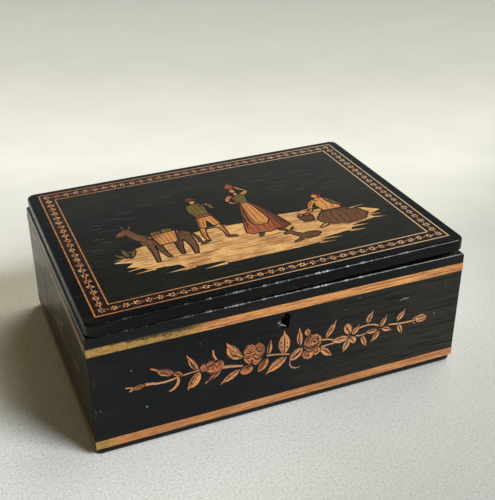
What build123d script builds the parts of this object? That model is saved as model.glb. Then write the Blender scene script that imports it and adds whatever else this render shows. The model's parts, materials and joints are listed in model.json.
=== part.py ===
"""Ebonised marquetry stationery box: a joined case, a hinged lid and a sliding-bolt box lock.

Millimetres. X runs left to right, Y front to back, Z up. The origin is on the table under the middle
of the case. The lid hangs on hinges let in unevenly, so it stands a little higher at its right end.
Everything that belongs to the lid and its hinges is placed through `on_lid`, which holds that tilt.
"""

import os
from math import acos, ceil, cos, hypot, pi, radians, sin, sqrt, tan

from build123d import *

# ---- Case -------------------------------------------------------------------------------------
CASE_W = 260.0              # over the end walls
CASE_D = 189.5              # over the front and back walls
RIM_Z = 88.2                # height of the rim above the table
WALL = 9.0                  # thickness of the wall boards
LAP = 5.0                   # how far an end wall is housed in the front and back boards
BASE_T = 5.0                # thickness of the bottom board
RIM_R = 1.6                 # worn outer edge of the rim
BASE_EDGE_R = 2.4           # rounded lower edge of the bottom board
BASE_CORNER_R = 4.0         # rounded corners of the bottom board, seen from above

# ---- Facings of the front and the two ends ----------------------------------------------------
VENEER_T = 1.2              # thickness of veneers, bands and inlay
BAND_W = 6.0                # width of the light-wood bands
UPPER_BAND_DROP = 7.2       # rim to the upper edge of the upper band
BAND_PROUD = 0.15           # how far the bands stand out of the veneer
SAW_SAG = 0.2               # how far an inlay's short straight saw cuts stray from the drawn curve

# ---- Lid --------------------------------------------------------------------------------------
LID_W = 257.6
LID_D = 189.0
LID_T = 8.6
LID_FORWARD = 1.3           # the lid sits this much forward of the case
LID_TILT = 0.78             # degrees, right end up
JOINT_GAP = 0.15            # between rim and lid at the left end
LID_CORNER_R = 6.0
LID_TOP_R = 1.6
LID_BOTTOM_CHAMFER = 0.8

# ---- Lid inlay --------------------------------------------------------------------------------
STRINGING_W = 0.9
BANDING_W = 9.3             # black banding between the two stringings
LID_MARGIN = 8.1            # lid edge to the middle of the outer stringing, at the front and ends
LID_MARGIN_BACK = 6.3       # the same at the back

# ---- Hinges -----------------------------------------------------------------------------------
HINGE_L = 30.0
HINGE_LEAF_W = 6.0          # from the pin to the leaf's front edge
HINGE_LEAF_T = 1.2
HINGE_BARREL_R = 2.0
HINGE_PIN_R = 0.9
HINGE_X = 90.0              # middle of each hinge from the middle of the case
PIN_INSET = 2.4             # pin in front of the case's back face
PIN_DROP = 1.4              # pin below the underside of the lid
KNUCKLES = 3
KNUCKLE_GAP = 0.15          # end play of the middle knuckle
PIN_CLEARANCE = 0.05        # radial play of the pin in the lid's knuckle
BARREL_CLEARANCE = 0.3      # round the barrel in its groove
MORTISE_CLEARANCE = 0.05    # round the leaves in their mortises
BACK_BEVEL = 45.0           # degrees, slope of the rim behind the pin

# ---- Lock -------------------------------------------------------------------------------------
LOCK_X = -2.2               # middle of the lock and of the keyhole
LOCK_PLATE_W = 54.0
LOCK_PLATE_H = 34.0
LOCK_PLATE_T = 1.2
SELVEDGE_T = 1.4            # thickness of the plate on the rim
LOCK_PLATE_LAP = 4.0        # how far the plate reaches below the case
LOCK_CASE_W = 38.0
LOCK_CASE_WALL = 1.0
LOCK_CASE_DEPTH = 5.4       # from the lock plate to the outside of the case
KEY_DROP = 18.0             # rim to the key's axis
KEYHOLE_R = 3.4
KEYHOLE_SLOT_W = 4.8
KEYHOLE_SLOT_DROP = 7.8     # key's axis to the bottom of the slot
KEY_PIN_R = 1.1
BOLT_PLAY = 0.05            # round the bolt's bar in its case
BOLT_W = 5.0                # height of the bolt's bar
HOOK_T = 1.4                # thickness of the two hooks
BOLT_L = 26.5
BOLT_DROP = 9.5             # rim to the top of the bar
BOLT_THROW = 5.0            # travel of the bolt
HOOK_STOP_GAP = 0.3         # between a thrown hook's post and its staple
HOOK_H = 2.6                # height of a hook's nose
HOOK_DROP = 3.6             # rim to the top of the nose
HOOK_POST_W = 2.5
STAPLE_SPACING = 16.0       # between the two staples
STAPLE_T = 2.0
STAPLE_GAP = 0.8            # between a drawn-back nose and its staple
STAPLE_SIDE_PLAY = 0.6      # staple in its slot, left and right
STAPLE_PLAY = 0.5           # staple in its slot, front and back
NOSE_PLAY = 0.35            # nose in the staple's eye
EYE_LEG = 1.05              # metal below the staple's eye
LINK_PLATE_L = 30.0
LINK_PLATE_W = 7.0
LINK_PLATE_T = 1.2
STUMP_R = 1.2               # the two pins that carry the bolt
STUMP_XS = (-7.5, 8.5)      # their places from the middle of the lock
SPRING_T = 0.5
SPRING_CLEARANCE = 0.3      # between the spring and the bolt's bar

# ---- Worked out from the above ----------------------------------------------------------------
FRONT_Y = -CASE_D / 2
BACK_Y = CASE_D / 2
INNER_FRONT_Y = FRONT_Y + WALL
UPPER_BAND_Z = RIM_Z - UPPER_BAND_DROP - BAND_W
LOWER_BAND_Z = BASE_T
PANEL_Z = LOWER_BAND_Z + BAND_W
FACING_TOP_Z = UPPER_BAND_Z + BAND_W
PIN_Y = BACK_Y - PIN_INSET
BARREL_HOLE_R = HINGE_BARREL_R + BARREL_CLEARANCE
LEAF_FRONT_Y = PIN_Y - HINGE_LEAF_W
CASE_LEAF_Z = -PIN_DROP - HINGE_BARREL_R    # undersides of the leaves, in lid coordinates
LID_LEAF_Z = -PIN_DROP + HINGE_BARREL_R - HINGE_LEAF_T
LID_FRONT_Y = -LID_D / 2 - LID_FORWARD
LID_BACK_Y = LID_D / 2 - LID_FORWARD
KEY_Z = RIM_Z - KEY_DROP

CENTRE = (Align.CENTER, Align.CENTER, Align.CENTER)
on_lid = (
    Pos(-CASE_W / 2, 0, RIM_Z + JOINT_GAP)
    * Rot(0, -LID_TILT, 0)
    * Pos(CASE_W / 2, 0, 0)
)                           # lid coordinates: like the case's, with Z = 0 at the lid's underside


def block(x0, x1, y0, y1, z0, z1):
    """A box between two corners."""
    size = (x1 - x0, y1 - y0, z1 - z0)
    return Pos((x0 + x1) / 2, (y0 + y1) / 2, (z0 + z1) / 2) * Box(*size, align=CENTRE)


def rod(start, direction, radius, length):
    """A cylinder from `start` along `direction`."""
    plane = Plane(origin=start, z_dir=direction)
    return extrude(plane * Circle(radius), amount=length)


def group(parts):
    """One compound of every separate solid in a list of shapes."""
    return Compound([solid for part in parts for solid in part.solids()])


# ---- Flat shapes for inlay --------------------------------------------------------------------
def offset_point(a, b, share, side):
    """The point at `share` of the way from a to b, moved `side` to the left of that line."""
    run = hypot(b[0] - a[0], b[1] - a[1])
    along = ((b[0] - a[0]) / run, (b[1] - a[1]) / run)
    x = a[0] + (b[0] - a[0]) * share - along[1] * side
    y = a[1] + (b[1] - a[1]) * share + along[0] * side
    return (x, y)


def outline(points):
    """A flat shape with a straight-sided, fret-sawn outline."""
    return make_face(Polyline(*points, close=True))


def saw_cuts(arc, sagitta):
    """The ends of the straight cuts that follow an arc, without its last point."""
    cuts = max(1, ceil(sqrt(abs(sagitta) / SAW_SAG)))
    return [arc @ (cut / cuts) for cut in range(cuts)]


def leaf(base, tip, left, right):
    """A leaf or petal from base to tip, bulging by `left` and `right` of its midrib."""
    left_edge = ThreePointArc(base, offset_point(base, tip, 0.5, left), tip)
    right_edge = ThreePointArc(tip, offset_point(base, tip, 0.5, -right), base)
    return outline(saw_cuts(left_edge, left) + saw_cuts(right_edge, right))


def petal(centre, length, width, turn=0.0):
    """A rounded petal."""
    cuts = ceil(pi / acos(1 - SAW_SAG / (max(length, width) / 2)))
    rim = [
        (cos(2 * pi * cut / cuts) * length / 2, sin(2 * pi * cut / cuts) * width / 2)
        for cut in range(cuts)
    ]
    c = cos(radians(turn))
    s = sin(radians(turn))
    return outline([(centre[0] + x * c - y * s, centre[1] + x * s + y * c) for x, y in rim])


def stem(start, end, rise, start_w, end_w):
    """A stem from start to end, arched by `rise` to the left, with its two widths."""
    half = (start_w + end_w) / 4
    points = []
    for side, (here, there), (here_w, there_w) in (
        (1, (0, 1), (start_w, end_w)),
        (-1, (1, 0), (end_w, start_w)),
    ):
        first = offset_point(start, end, here, side * here_w / 2)
        last = offset_point(start, end, there, side * there_w / 2)
        arc = ThreePointArc(first, offset_point(start, end, 0.5, rise + side * half), last)
        points += saw_cuts(arc, rise) + [last]
    return outline(points)


def lay(shapes, size, under=None):
    """Shapes scaled by `size` and laid over one another, the first on top, so that none overlaps."""
    covered = under
    seated = []
    for shape in [drawn.scale(size) for drawn in shapes]:
        seated.append(shape if covered is None else shape - covered)
        covered = shape if covered is None else covered + shape
    return seated, covered


def mitred_frame(middle_y, half_x, half_y, width, z0, z1):
    """Four mitred strips round a rectangle, which is measured to the strips' outer edges."""
    outer = [(-half_x, -half_y), (half_x, -half_y), (half_x, half_y), (-half_x, half_y)]
    inner = [(x - width if x > 0 else x + width, y - width if y > 0 else y + width) for x, y in outer]
    strips = []
    for here, there in ((0, 1), (1, 2), (2, 3), (3, 0)):
        face = outline([outer[here], outer[there], inner[there], inner[here]])
        strips.append(Pos(0, middle_y, z0) * extrude(face, amount=z1 - z0))
    return strips


# ---- Case boards ------------------------------------------------------------------------------
def case_envelope():
    """The outside of the walls, with a worn rim."""
    solid = block(-CASE_W / 2, CASE_W / 2, FRONT_Y, BACK_Y, BASE_T, RIM_Z)
    return fillet(solid.faces().sort_by(Axis.Z)[-1].edges(), RIM_R)


def facing_space():
    """What the boards leave for the veneers and bands of the front and ends."""
    outside = block(-CASE_W, CASE_W, -CASE_D, CASE_D, BASE_T, FACING_TOP_Z)
    inset = VENEER_T
    inside = block(-CASE_W / 2 + inset, CASE_W / 2 - inset, FRONT_Y + inset, CASE_D * 2, 0, RIM_Z)
    return outside - inside


def cross_board(outer_y, inward):
    """A front (inward 1) or back (inward -1) board with a rebate for each end wall."""
    inner_y = outer_y + inward * WALL
    rebate_y = inner_y - inward * LAP
    board = block(-CASE_W / 2, CASE_W / 2, *sorted((outer_y, inner_y)), BASE_T, RIM_Z)
    for side in (-1, 1):
        x0, x1 = sorted((side * (CASE_W / 2 - WALL), side * CASE_W))
        board -= block(x0, x1, *sorted((rebate_y, inner_y)), 0, CASE_W)
    return board


def end_board(side):
    """The left (-1) or right (1) wall, housed in the rebates of the front and back boards."""
    reach = CASE_D / 2 - (WALL - LAP)
    x0, x1 = sorted((side * (CASE_W / 2 - WALL), side * CASE_W / 2))
    return block(x0, x1, -reach, reach, BASE_T, RIM_Z)


def base_board():
    """The bottom board under the walls, with rounded corners and lower edge."""
    board = block(-CASE_W / 2, CASE_W / 2, FRONT_Y, BACK_Y, 0, BASE_T)
    board = fillet(board.edges().filter_by(Axis.Z), BASE_CORNER_R)
    return fillet(board.faces().sort_by(Axis.Z)[0].edges(), BASE_EDGE_R)


# ---- Facings ----------------------------------------------------------------------------------
# The garlands are drawn for walls 260 and 189.5 long that carry a black panel 64 high.
GARLAND_SCALE = min(CASE_W / 260, CASE_D / 189.5, (UPPER_BAND_Z - PANEL_Z) / 64)
FRONT_FACE = Plane(origin=(0, FRONT_Y, 0), x_dir=(1, 0, 0), z_dir=(0, -1, 0))
LEFT_FACE = Plane(origin=(-CASE_W / 2, 0, 0), x_dir=(0, -1, 0), z_dir=(-1, 0, 0))
RIGHT_FACE = Plane(origin=(CASE_W / 2, 0, 0), x_dir=(0, 1, 0), z_dir=(1, 0, 0))


def facing(proud, z0, z1):
    """The front, left and right facing strips between two heights, mitred at the front corners."""
    x_out = CASE_W / 2 + proud
    x_in = CASE_W / 2 - VENEER_T
    y_out = FRONT_Y - proud
    y_in = FRONT_Y + VENEER_T
    front = [(-x_out, y_out), (x_out, y_out), (x_in, y_in), (-x_in, y_in)]
    left = [(-x_out, y_out), (-x_in, y_in), (-x_in, BACK_Y), (-x_out, BACK_Y)]
    right = [(x_out, y_out), (x_in, y_in), (x_in, BACK_Y), (x_out, BACK_Y)]
    footprints = [Pos(0, 0, z0) * outline(corners) for corners in (front, left, right)]
    return [extrude(footprint, amount=z1 - z0) for footprint in footprints]


def front_garland():
    """The rose garland of the front, in millimetres from the middle of the front's lower edge."""
    leaves = [
        leaf((-104.5, 44.6), (-95.9, 46.0), 1.6, 2.4),
        leaf((-77.0, 48.8), (-88.6, 53.6), 3.6, 2.6),
        leaf((-71.6, 45.2), (-79.2, 49.4), 1.7, 2.4),
        leaf((-61.0, 46.4), (-67.7, 58.4), 3.4, 1.6),
        leaf((-60.8, 45.6), (-68.6, 33.8), 4.4, 3.2),
        leaf((-45.6, 42.0), (-56.0, 36.0), 1.6, 2.0),
        leaf((-31.8, 47.2), (-41.4, 60.8), 6.0, 2.4),
        leaf((-33.2, 39.4), (-46.4, 31.9), 3.0, 2.6),
        leaf((-14.0, 44.4), (-12.3, 54.6), 2.2, 2.0),
        leaf((-2.6, 41.8), (-2.6, 58.8), 4.9, 4.2),
        leaf((-0.4, 39.6), (-14.8, 30.3), 3.0, 4.6),
        leaf((10.6, 43.8), (1.2, 35.4), 3.6, 3.9),
        leaf((8.8, 44.6), (8.1, 58.4), 2.7, 2.2),
        leaf((23.2, 40.2), (31.6, 31.2), 2.9, 2.7),
        leaf((26.9, 46.0), (34.1, 57.9), 2.3, 2.5),
        leaf((58.6, 49.4), (61.9, 58.2), 3.4, 1.5),
        leaf((54.2, 41.9), (58.2, 31.8), 2.3, 2.2),
        leaf((80.9, 45.6), (86.9, 53.4), 2.5, 2.4),
        leaf((82.6, 43.8), (85.9, 34.8), 2.2, 2.2),
    ]
    small_rose = [
        petal((-53.0, 45.2), 8.0, 6.6, 20),
        petal((-53.2, 49.6), 5.6, 4.8, 10),
        petal((-47.6, 47.2), 6.4, 6.8, 40),
        petal((-57.8, 47.2), 6.2, 6.8, -20),
        petal((-50.4, 42.6), 9.0, 4.6, 10),
    ]
    left_rose = [
        petal((-26.0, 46.2), 4.6, 5.4, 20),
        petal((-27.2, 52.2), 9.4, 9.2, 0),
        leaf((-24.8, 43.0), (-20.6, 56.6), 3.4, 6.6),
        leaf((-26.2, 40.4), (-30.8, 49.6), 2.6, 2.8),
        petal((-22.2, 43.4), 8.6, 7.2, 70),
        petal((-29.2, 37.2), 9.6, 7.4, 10),
        leaf((-14.4, 43.0), (-21.8, 33.0), 3.8, 2.6),
    ]
    right_rose = [
        petal((17.7, 46.0), 14.0, 13.4, 30),
        petal((13.7, 54.9), 5.0, 5.8, 0),
        petal((14.2, 37.2), 9.4, 8.0, -30),
        petal((20.2, 38.0), 7.8, 6.4, 20),
    ]
    blossom = [
        leaf((44.6, 42.6), (31.8, 42.2), 3.0, 3.3),
        leaf((45.6, 44.8), (42.6, 54.4), 3.9, 2.9),
        leaf((46.6, 43.8), (51.8, 50.0), 2.0, 2.6),
        leaf((46.4, 43.0), (49.0, 36.2), 2.9, 2.4),
        leaf((45.2, 42.4), (41.0, 31.8), 2.6, 2.9),
    ]
    small_blossom = [
        leaf((67.4, 42.6), (56.6, 43.0), 2.1, 2.1),
        leaf((68.2, 44.0), (72.6, 52.2), 2.0, 2.2),
        leaf((69.0, 43.4), (77.2, 40.0), 2.3, 2.1),
        leaf((68.4, 42.2), (62.6, 34.4), 2.4, 2.2),
    ]
    buds = [
        petal((100.6, 43.6), 9.6, 7.2, -6),
        leaf((93.6, 42.6), (97.2, 46.6), 1.3, 0.6),
        leaf((93.8, 41.8), (97.4, 40.0), 0.6, 1.1),
    ]
    stems = [
        stem((-108.6, 46.6), (-103.6, 45.2), 0.3, 0.8, 1.4),
        stem((-106.4, 43.2), (-103.2, 44.6), 0.2, 0.8, 1.4),
        stem((-96.6, 45.9), (-88.6, 44.2), 0.3, 2.2, 1.4),
        stem((-89.0, 44.3), (-74.6, 45.4), -0.9, 1.4, 1.2),
        stem((-92.2, 56.4), (-87.6, 53.8), 0.2, 0.8, 1.6),
        stem((-74.9, 44.6), (-81.2, 35.8), 2.2, 2.2, 1.4),
        stem((-73.0, 45.5), (-59.6, 46.6), 0.2, 1.0, 1.0),
        stem((-49.5, 51.0), (-51.7, 58.9), 0.8, 1.4, 1.1),
        stem((-48.6, 44.6), (-31.8, 41.2), 0.4, 2.6, 1.4),
        stem((-57.6, 34.9), (-54.4, 37.0), 0.2, 0.7, 1.2),
        stem((-15.2, 44.6), (1.0, 41.0), 0.4, 1.0, 1.0),
        stem((1.3, 35.6), (8.9, 28.9), -3.2, 0.9, 0.7),
        stem((23.8, 45.9), (33.0, 43.8), 0.5, 1.2, 1.0),
        stem((24.0, 40.4), (33.6, 40.9), 0.3, 1.1, 1.0),
        stem((51.0, 47.6), (67.0, 46.2), 1.9, 1.1, 1.2),
        stem((49.8, 42.4), (58.6, 42.8), -0.9, 1.0, 1.0),
        stem((74.8, 44.8), (95.6, 42.8), -0.5, 1.2, 1.1),
    ]
    roses, covered = lay(small_rose + left_rose + right_rose, GARLAND_SCALE)
    blossoms, covered = lay(blossom + small_blossom + buds, GARLAND_SCALE, covered)
    leaves, covered = lay(leaves, GARLAND_SCALE, covered)
    stems, covered = lay(stems, GARLAND_SCALE, covered)
    return {"stems": stems, "leaves": leaves, "roses": roses, "blossoms": blossoms}, covered


def end_garland():
    """The smaller garland of an end, in millimetres from the middle of the end's lower edge."""
    rose = [
        petal((0.0, 43.5), 13.0, 12.4, 20),
        petal((-5.6, 36.8), 8.2, 6.6, 20),
        petal((4.8, 36.4), 8.0, 6.4, -20),
    ]
    blossom = [
        leaf((-41.0, 43.0), (-50.5, 43.4), 2.4, 2.4),
        leaf((-40.0, 44.0), (-42.6, 52.4), 2.4, 2.2),
        leaf((-39.6, 42.6), (-41.4, 34.2), 2.3, 2.3),
        petal((55.4, 42.6), 9.4, 6.8, -6),
    ]
    leaves = [
        leaf((-8.4, 43.6), (-21.5, 52.6), 3.2, 2.8),
        leaf((-9.0, 39.6), (-21.8, 32.6), 2.6, 3.0),
        leaf((8.4, 45.0), (19.6, 54.8), 2.6, 2.8),
        leaf((8.6, 39.4), (20.4, 31.6), 2.8, 2.6),
        leaf((33.0, 41.6), (39.2, 33.2), 2.1, 2.1),
    ]
    stems = [
        stem((-38.6, 43.2), (-5.6, 42.0), -0.8, 1.1, 1.2),
        stem((5.8, 42.6), (51.4, 42.4), 0.9, 1.2, 1.1),
    ]
    return lay(rose + blossom + leaves + stems, GARLAND_SCALE)


def inlay(plane, flat_shapes):
    """Solid inlay pieces of the veneer's thickness, flush in one face of the case."""
    return [extrude(plane * shape, amount=-VENEER_T) for shape in flat_shapes]


# ---- Lock -------------------------------------------------------------------------------------
def keyhole(y0, y1):
    """The keyhole's space between two depths: a round eye over a slot."""
    start = (LOCK_X, y0, KEY_Z)
    half = KEYHOLE_SLOT_W / 2
    slot = block(LOCK_X - half, LOCK_X + half, y0, y1, KEY_Z - KEYHOLE_SLOT_DROP, KEY_Z)
    return rod(start, (0, 1, 0), KEYHOLE_R, y1 - y0) + slot


PLATE_FRONT_Y = INNER_FRONT_Y - LOCK_PLATE_T
LOCK_CASE_Y = PLATE_FRONT_Y - LOCK_CASE_DEPTH
BOLT_Y = (PLATE_FRONT_Y + LOCK_CASE_Y + LOCK_CASE_WALL) / 2
PLATE_LOW_Z = RIM_Z - LOCK_PLATE_H
CASE_LOW_Z = PLATE_LOW_Z + LOCK_PLATE_LAP
STAPLE_XS = (LOCK_X - STAPLE_SPACING / 2, LOCK_X + STAPLE_SPACING / 2)
STAPLE_W = LOCK_CASE_DEPTH - LOCK_CASE_WALL - 2 * STAPLE_PLAY


def staple_slots():
    """The slots in the selvedge that the lid's staples drop into."""
    half_x = STAPLE_T / 2 + STAPLE_SIDE_PLAY
    half_y = STAPLE_W / 2 + STAPLE_PLAY
    slots = [
        block(x - half_x, x + half_x, BOLT_Y - half_y, BOLT_Y + half_y, RIM_Z - WALL, RIM_Z + WALL)
        for x in STAPLE_XS
    ]
    return slots[0] + slots[1]


def lock_plate():
    """The plate on the inside of the front, bent over the rim as the selvedge."""
    half = LOCK_PLATE_W / 2
    plate = block(LOCK_X - half, LOCK_X + half, PLATE_FRONT_Y, INNER_FRONT_Y, PLATE_LOW_Z, RIM_Z)
    selvedge = block(LOCK_X - half, LOCK_X + half, LOCK_CASE_Y, INNER_FRONT_Y, RIM_Z - SELVEDGE_T, RIM_Z)
    plate = plate + selvedge - staple_slots()
    stump_z = RIM_Z - BOLT_DROP - BOLT_W - BOLT_PLAY - STUMP_R
    for x in STUMP_XS:
        start = (LOCK_X + x, PLATE_FRONT_Y, stump_z)
        plate += rod(start, (0, -1, 0), STUMP_R, LOCK_CASE_DEPTH - LOCK_CASE_WALL)
    return plate


def lock_case():
    """The shallow case behind the plate, open at the top under the selvedge."""
    half = LOCK_CASE_W / 2
    wall = LOCK_CASE_WALL
    top = RIM_Z - SELVEDGE_T
    case = block(LOCK_X - half, LOCK_X + half, LOCK_CASE_Y, PLATE_FRONT_Y, CASE_LOW_Z, top)
    x0 = LOCK_X - half + wall
    x1 = LOCK_X + half - wall
    hollow = block(x0, x1, LOCK_CASE_Y + wall, PLATE_FRONT_Y, CASE_LOW_Z + wall, top)
    return case - hollow - keyhole(LOCK_CASE_Y, PLATE_FRONT_Y)


def lock_space():
    """What the front board loses to the lock: case, plate and selvedge."""
    half_case = LOCK_CASE_W / 2
    half = LOCK_PLATE_W / 2
    case = block(LOCK_X - half_case, LOCK_X + half_case, LOCK_CASE_Y, INNER_FRONT_Y, CASE_LOW_Z, RIM_Z)
    plate = block(LOCK_X - half, LOCK_X + half, PLATE_FRONT_Y, INNER_FRONT_Y, PLATE_LOW_Z, RIM_Z)
    selvedge = block(LOCK_X - half, LOCK_X + half, LOCK_CASE_Y, INNER_FRONT_Y, RIM_Z - SELVEDGE_T, RIM_Z)
    return case + plate + selvedge


def lock_bolt():
    """The sliding bolt, drawn back: a thick bar with two thin hooks that point right."""
    y0 = LOCK_CASE_Y + LOCK_CASE_WALL + BOLT_PLAY
    y1 = PLATE_FRONT_Y - BOLT_PLAY
    hook_y0 = BOLT_Y - HOOK_T / 2
    hook_y1 = BOLT_Y + HOOK_T / 2
    bar_top = RIM_Z - BOLT_DROP
    hook_top = RIM_Z - HOOK_DROP
    nose_tips = [x - STAPLE_T / 2 - STAPLE_GAP for x in STAPLE_XS]
    nose_l = HOOK_POST_W + BOLT_THROW + HOOK_STOP_GAP - STAPLE_GAP
    post_back = nose_tips[0] - nose_l
    bolt = block(post_back, post_back + BOLT_L, y0, y1, bar_top - BOLT_W, bar_top)
    for tip in nose_tips:
        left = tip - nose_l
        bolt += block(left, left + HOOK_POST_W, hook_y0, hook_y1, bar_top, hook_top)
        bolt += block(left, tip, hook_y0, hook_y1, hook_top - HOOK_H, hook_top)
    return bolt - rod((LOCK_X, y0, bar_top - BOLT_W), (0, 1, 0), BOLT_W / 3, y1 - y0)


def lock_pin():
    """The pin that a hollow key turns on, riveted to the lock plate."""
    length = LOCK_CASE_DEPTH - LOCK_CASE_WALL - 2 * STAPLE_PLAY
    return rod((LOCK_X, PLATE_FRONT_Y, KEY_Z), (0, -1, 0), KEY_PIN_R, length)


def lock_spring():
    """A leaf spring from the end of the case up to the bolt's lower edge."""
    bar_low_z = RIM_Z - BOLT_DROP - BOLT_W
    foot = (LOCK_X - LOCK_CASE_W / 2 + LOCK_CASE_WALL + SPRING_T, bar_low_z - 5.0)
    crown = (LOCK_X + STUMP_XS[0] - 2 * STUMP_R, bar_low_z - SPRING_CLEARANCE - SPRING_T)
    strip = stem(foot, crown, 1.0, SPRING_T, SPRING_T)
    width = LOCK_CASE_DEPTH - LOCK_CASE_WALL - 2 * BOLT_PLAY
    plane = Plane(origin=(0, PLATE_FRONT_Y - BOLT_PLAY, 0), x_dir=(1, 0, 0), z_dir=(0, -1, 0))
    return extrude(plane * strip, amount=width)


# ---- Hinges, in lid coordinates ---------------------------------------------------------------
def knuckle_spans(centre_x):
    """The X range of each knuckle of one hinge."""
    length = HINGE_L / KNUCKLES
    start = centre_x - HINGE_L / 2
    return [(start + i * length, start + (i + 1) * length) for i in range(KNUCKLES)]


def barrel(x0, x1, radius):
    """A cylinder on the pin's line."""
    return rod((x0, PIN_Y, -PIN_DROP), (1, 0, 0), radius, x1 - x0)


def hinge_leaf(centre_x, on_case):
    """One leaf with its knuckles: the case's has the outer ones, the lid's the middle one."""
    z0 = CASE_LEAF_Z if on_case else LID_LEAF_Z
    half = HINGE_L / 2
    play = 0 if on_case else KNUCKLE_GAP
    plate = block(centre_x - half, centre_x + half, LEAF_FRONT_Y, PIN_Y, z0, z0 + HINGE_LEAF_T)
    for index, (x0, x1) in enumerate(knuckle_spans(centre_x)):
        if (index % 2 == 0) == on_case:
            plate += barrel(x0 + play, x1 - play, HINGE_BARREL_R)
        else:
            y0 = PIN_Y - BARREL_HOLE_R
            plate -= block(x0 - play, x1 + play, y0, BACK_Y, z0 - WALL, z0 + WALL)
    plate -= barrel(centre_x - half, centre_x + half, HINGE_PIN_R + (0 if on_case else PIN_CLEARANCE))
    return plate


def hinge_space(centre_x, z0, z1):
    """The mortise for a leaf between two heights and the groove for the barrel."""
    half = HINGE_L / 2 + MORTISE_CLEARANCE
    mortise = block(centre_x - half, centre_x + half, LEAF_FRONT_Y - MORTISE_CLEARANCE, CASE_D, z0, z1)
    groove_half = HINGE_L / 2 + BARREL_CLEARANCE
    groove = barrel(centre_x - groove_half, centre_x + groove_half, BARREL_HOLE_R)
    return mortise + groove


def back_bevel():
    """The wedge cut off the rim behind the pins, so that the lid can swing past upright."""
    reach = WALL
    run = reach * tan(radians(BACK_BEVEL))
    wedge = outline([
        (PIN_Y - reach, -PIN_DROP + run),
        (PIN_Y + reach, -PIN_DROP - run),
        (PIN_Y + reach, -PIN_DROP + run),
    ])
    plane = Plane(origin=(-CASE_W, 0, 0), x_dir=(0, 1, 0), z_dir=(1, 0, 0))
    return extrude(plane * wedge, amount=2 * CASE_W)


# ---- Lid --------------------------------------------------------------------------------------
RECESS_Z = LID_T - VENEER_T
INLAY_MIDDLE_Y = (LID_FRONT_Y + LID_MARGIN + LID_BACK_Y - LID_MARGIN_BACK) / 2
RECESS_HALF_X = LID_W / 2 - LID_MARGIN + STRINGING_W / 2
RECESS_HALF_Y = (LID_D - LID_MARGIN - LID_MARGIN_BACK + STRINGING_W) / 2


def lid_board():
    """The lid's board with worn edges and the recess for its veneer and stringing."""
    board = block(-LID_W / 2, LID_W / 2, LID_FRONT_Y, LID_BACK_Y, 0, LID_T)
    board = fillet(board.edges().filter_by(Axis.Z), LID_CORNER_R)
    board = fillet(board.faces().sort_by(Axis.Z)[-1].edges(), LID_TOP_R)
    board = chamfer(board.faces().sort_by(Axis.Z)[0].edges(), LID_BOTTOM_CHAMFER)
    y0 = INLAY_MIDDLE_Y - RECESS_HALF_Y
    y1 = INLAY_MIDDLE_Y + RECESS_HALF_Y
    board -= block(-RECESS_HALF_X, RECESS_HALF_X, y0, y1, RECESS_Z, LID_T + VENEER_T)
    for side in (-1, 1):
        board -= hinge_space(side * HINGE_X, -WALL, LID_LEAF_Z + HINGE_LEAF_T)
    return board - link_plate_space()


def picture_ground():
    """The strip of broken ground, in millimetres from the middle of the lid."""
    return outline([
        (-97, -33), (-86, -29), (-90, -25), (-76, -19), (-63, -15), (-36, -13.6), (-22, -12.5),
        (6, -14), (28, -12), (50, -15), (68, -17), (76, -23), (90, -27), (100, -34.5), (88, -39),
        (91, -44), (70, -48), (66, -54), (45, -56), (41, -60.5), (24, -62), (-27, -61.5),
        (-30, -58), (-54, -57), (-57, -51), (-77, -49), (-81, -44.5), (-90, -41), (-84, -37),
    ])


def donkey():
    """A donkey looking left, with a red cloth and a loaded pannier."""
    return [
        ("pale", outline([(-63, -6), (-45, -5), (-47.5, -21), (-60.5, -21.5)])),
        ("green", petal((-58.5, -4), 8.5, 6.5, 10)),
        ("green", petal((-50.5, -3), 9, 7, -10)),
        ("red", outline([(-65.5, -6.5), (-42.5, -5), (-43.5, -10), (-65, -11)])),
        ("brown", (
            petal((-79.4, 4.4), 13.5, 6.6, 38)
            + leaf((-75.2, 6.6), (-70.6, 16.6), 1.3, 1.6)
            + leaf((-77.4, 7.4), (-77.2, 17.8), 1.4, 1.3)
            + stem((-63.0, -13.0), (-76.0, 6.0), 2.0, 11.5, 6.0)
            + petal((-54.5, -13.5), 36, 15.5, 4)
            + stem((-66.5, -16.0), (-67.5, -42.0), 0.7, 5.4, 2.5)
            + stem((-41.5, -14.0), (-41.5, -41.5), 1.8, 8.0, 2.6)
            + stem((-37.6, -11.0), (-34.2, -28.0), 1.6, 1.3, 2.4)
        )),
        ("brown", stem((-61.5, -18.0), (-58.5, -39.5), -0.9, 5.0, 2.4)),
        ("brown", stem((-46.0, -16.0), (-49.5, -38.5), -1.0, 6.5, 2.4)),
    ]


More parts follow.
